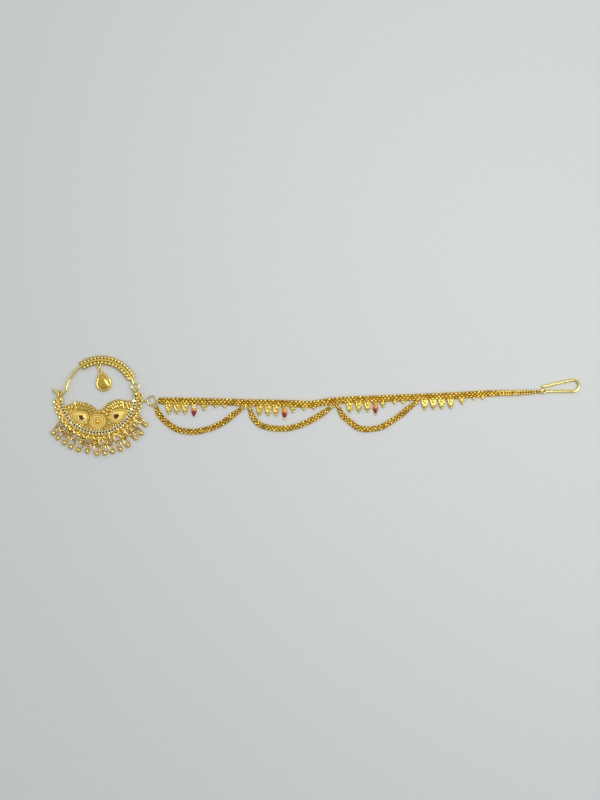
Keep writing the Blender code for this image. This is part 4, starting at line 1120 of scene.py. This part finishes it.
def makeSwags():
    loops = []
    for number, (first, last, shape) in enumerate(swag["rows"], 1):
        if first is None:
            start = jumpCentre + polar(links["jump"][0] - loopGrip, links["firstSwagAngle"])
        else:
            start = hangingEye(first * mm)[0]
        end = hangingEye(last * mm)[0]
        start.z = 0.0
        span = end - start
        down = Vector((span.y, -span.x, 0)).normalized()
        sag = [start + span * along + down * span.length * drop for along, drop in shape]
        route = smoothRoute([start, *sag, end], 4)
        shares = []
        for point in route:
            nearness = min((point - start).length, (point - end).length) / swag["taper"]
            shares.append(swag["endShare"] + (1 - swag["endShare"]) * min(nearness, 1.0))
        wovenBand(f"swag{number}", route, shares, swag, f"swag_{number}")
        for hole, near in ((route[0], route[3]), (route[-1], route[-4])):
            along = (near - hole).normalized()
            loops.append(endLoop(hole, along, chain["endLoop"][1]))
            if hole is route[0] and first is None:
                continue
            for x, y, size in swag["knot"]:
                spot = hole + (along * x + leftOf(along) * y + up * swag["knotLevel"]) * mm
                loops.append(ball("knotBead", size * mm, spot, 12, 8))
    finishPiece(joinPieces("swagLoops", loops), ringGold)


makeLinks()
makeChain()
makeTail()
makeSwags()
print("chain and swags made")


# A pressed leaf with a wire rim, a raised middle, and beads at its tip
def makeLeafDrop(radius, length, rim, beads):
    outline = pearOutline(radius, length, 34)
    parts = [pressUp(flatShape("leafDrop", outline), [(0.4 * mm, 1), (0.08 * mm, 0.94)])]
    if rim:
        route = [point + up * 0.45 * mm for point in outline]
        parts.append(bendWire("leafRim", route, rim, closed=True))
    for x, y, size in beads:
        parts.append(ball("tipBead", size * mm, Vector((x, y, max(size, 0.45))) * mm, 12, 8))
    return joinPieces("leafDrop", parts)


def makeLeafDrops():
    boss = ball("boss", 1.0, (0, 0, 0))
    boss.data.transform(stretch(*drops["boss"]))
    parts = []
    bosses = []
    for radius, tip, depth, rim, beads, places in drops["kinds"]:
        leaf = makeLeafDrop(radius * mm, tip * mm, rim * mm, beads)
        for spot in places:
            edge, down = belowChain(spot * mm, depth * mm)
            place = facing(edge + up * floorGap, down) @ stretch(1, 1, drops["height"])
            parts.append(copyOf(leaf, place))
            if rim:
                bosses.append(copyOf(boss, place @ at(drops["bossPlace"])))
        discard(leaf)
    discard(boss)
    finishPiece(joinPieces("leafDrops", parts), leafGold, ["hair_chain"])
    finishPiece(joinPieces("leafBosses", bosses), bossGold)


def makeEnamelDrops():
    radius, length, thickness = drops["enamel"]
    golden = []
    pale = []
    for number, spot in enumerate(drops["enamelPlaces"], 1):
        hole, down = hangingEye(spot * mm)
        golden.append(endLoop(hole, down, chain["enamelLoop"]))
        centre = hole + down * (chain["enamelLoop"] - solder + radius)
        base = centre + up * (floorGap - centre.z)
        body = pressUp(flatShape("enamelBody", pearOutline(radius, length, 36)), [
            (thickness * 0.45, 1), (thickness * 0.25, 0.93), (thickness * 0.18, 0.78),
            (thickness * 0.08, 0.5),
        ])
        share = body.data.attributes.new("dropShare", "FLOAT", "POINT")
        for vertex, value in zip(body.data.vertices, share.data):
            value.value = (vertex.co.x + radius) / (radius + length)
        neck = ball("enamelNeck", 0.5, (0, 0, 0), 20, 12)
        neck.data.transform(stretch(*drops["neck"]))
        neck.data.transform(at((-radius, 0, thickness * 0.55)))
        body = joinPieces(f"enamelDrop{number}", [body, neck])
        moved(body, facing(base, down))
        finishPiece(body, enamel, [f"enamel_drop_{number}"], 60)
        # The first drop has a crown of pale beads, the others a tip bead and two beads at the chain
        for x, y, size, height in drops["crown"] if number == 1 else drops["crown"][-2:]:
            spot = base + (down * x + leftOf(down) * y + up * height) * mm
            (pale if number == 1 else golden).append(ball("crownBead", size * mm, spot, 12, 8))
        if number > 1:
            tip = base + down * (length - 0.25 * mm) + up * 0.55 * mm
            golden.append(ball("tipBead", drops["tipBead"], tip, 12, 8))
    finishPiece(joinPieces("enamelGold", golden), leafGold)
    finishPiece(joinPieces("enamelBeads", pale), grainGold)


makeLeafDrops()
makeEnamelDrops()
print("drops made")


hairHook = lengths(
    wire=1.2, eye=(0.85, 0.7), run=12.7, bend=2.65, back=13.7,
) | {
    "closing": radians(13), "bendSteps": 28,
}


def makeHairHook():
    eyeRadius, eyeWire = hairHook["eye"]
    eyeCentre = chainRoute[-1].copy()
    eyeCentre.z = chain["endLoop"][0] + chain["endLoop"][2] / 2
    low = hairHook["wire"] / 2 + floorGap
    start = eyeCentre + Vector((eyeRadius, 0, 0))
    level = Vector((start.x + hairHook["run"] * 0.25, start.y, low))
    run = Vector((start.x + hairHook["run"], start.y, low))
    points = smoothRoute([start, (start + level) / 2, level], 4) + [run]
    centre = run + Vector((0, hairHook["bend"], 0))
    sweep = pi + hairHook["closing"]
    count = hairHook["bendSteps"]
    points += [centre + polar(hairHook["bend"], -pi / 2 + sweep * i / count) for i in range(1, count + 1)]
    points.append(points[-1] + polar(hairHook["back"], sweep))
    wire = bendWire("hairHook", points, hairHook["wire"] / 2, 5)
    tip = ball("hookTip", hairHook["wire"] / 2, points[-1])
    eye = roundRing("hookEye", eyeRadius, eyeWire, at(eyeCentre))
    finishPiece(joinPieces("hairHook", [wire, tip, eye]), hoopGold, ["hair_hook"])


makeHairHook()
print("hair hook made")


studio = lengths(
    pixel=0.46, middle=(-7.2, 2.8), cameraHeight=420, floorDrop=0.02,
) | {
    "floorColor": (0.62, 0.645, 0.65), "walls": 0.71, "horizon": 0.42, "front": 0.46, "overhead": 0.79,
    "skyColor": (0.97, 1.0, 1.0, 1.0), "floorSize": 3.0, "sensor": 24, "lines": 800,
    "lights": [
        ("ceilingLight", (0.12, 0.16, 0.62), 0.24, 1.5, (1.0, 0.98, 0.95)),
        ("sideLight", (0.42, -0.10, 0.55), 0.18, 0.7, (1.0, 0.97, 0.93)),
    ],
}


def makeStudio():
    bpy.ops.mesh.primitive_plane_add(size=studio["floorSize"], location=(0, 0, -studio["floorDrop"]))
    floor = newest("floor")
    finish = Finish("floorBoard", 0.0, 0.55)
    finish.set("Base Color", (*studio["floorColor"], 1.0))
    floor.data.materials.append(finish.material)

    # A light tent: pale walls, dim near the floor and towards the one who stands in front
    world = bpy.data.worlds.new("studioWorld")
    bpy.context.scene.world = world
    world.use_nodes = True
    sheet = NodeSheet(world.node_tree)
    height = sheet.axis("Z", "Generated")
    walls = sheet.between(height, 0.05, 0.65, studio["horizon"], studio["walls"])
    front = sheet.between(sheet.axis("Y", "Generated"), -0.8, 0.05, studio["front"], 1.0)
    overhead = sheet.between(height, 0.9, 0.99, 1.0, studio["overhead"])
    sky = world.node_tree.nodes["Background"]
    sky.inputs["Color"].default_value = studio["skyColor"]
    sheet.put(sky.inputs["Strength"], walls * front * overhead)

    for name, place, size, power, color in studio["lights"]:
        bpy.ops.object.light_add(type="AREA", location=place)
        light = newest(name)
        light.data.shape = "SQUARE"
        light.data.size = size
        light.data.energy = power
        light.data.color = color
        light.rotation_euler = Vector(place).to_track_quat("Z", "Y").to_euler()

    bpy.ops.object.camera_add(location=(*studio["middle"], studio["cameraHeight"]), rotation=(0, 0, 0))
    camera = newest("camera")
    camera.data.sensor_fit = "VERTICAL"
    camera.data.sensor_height = studio["sensor"]
    camera.data.lens = studio["sensor"] * studio["cameraHeight"] / (studio["lines"] * studio["pixel"])
    camera.data.clip_start = 0.01
    bpy.context.scene.camera = camera
    bpy.context.scene.view_settings.view_transform = "Standard"


makeStudio()
print("studio made")
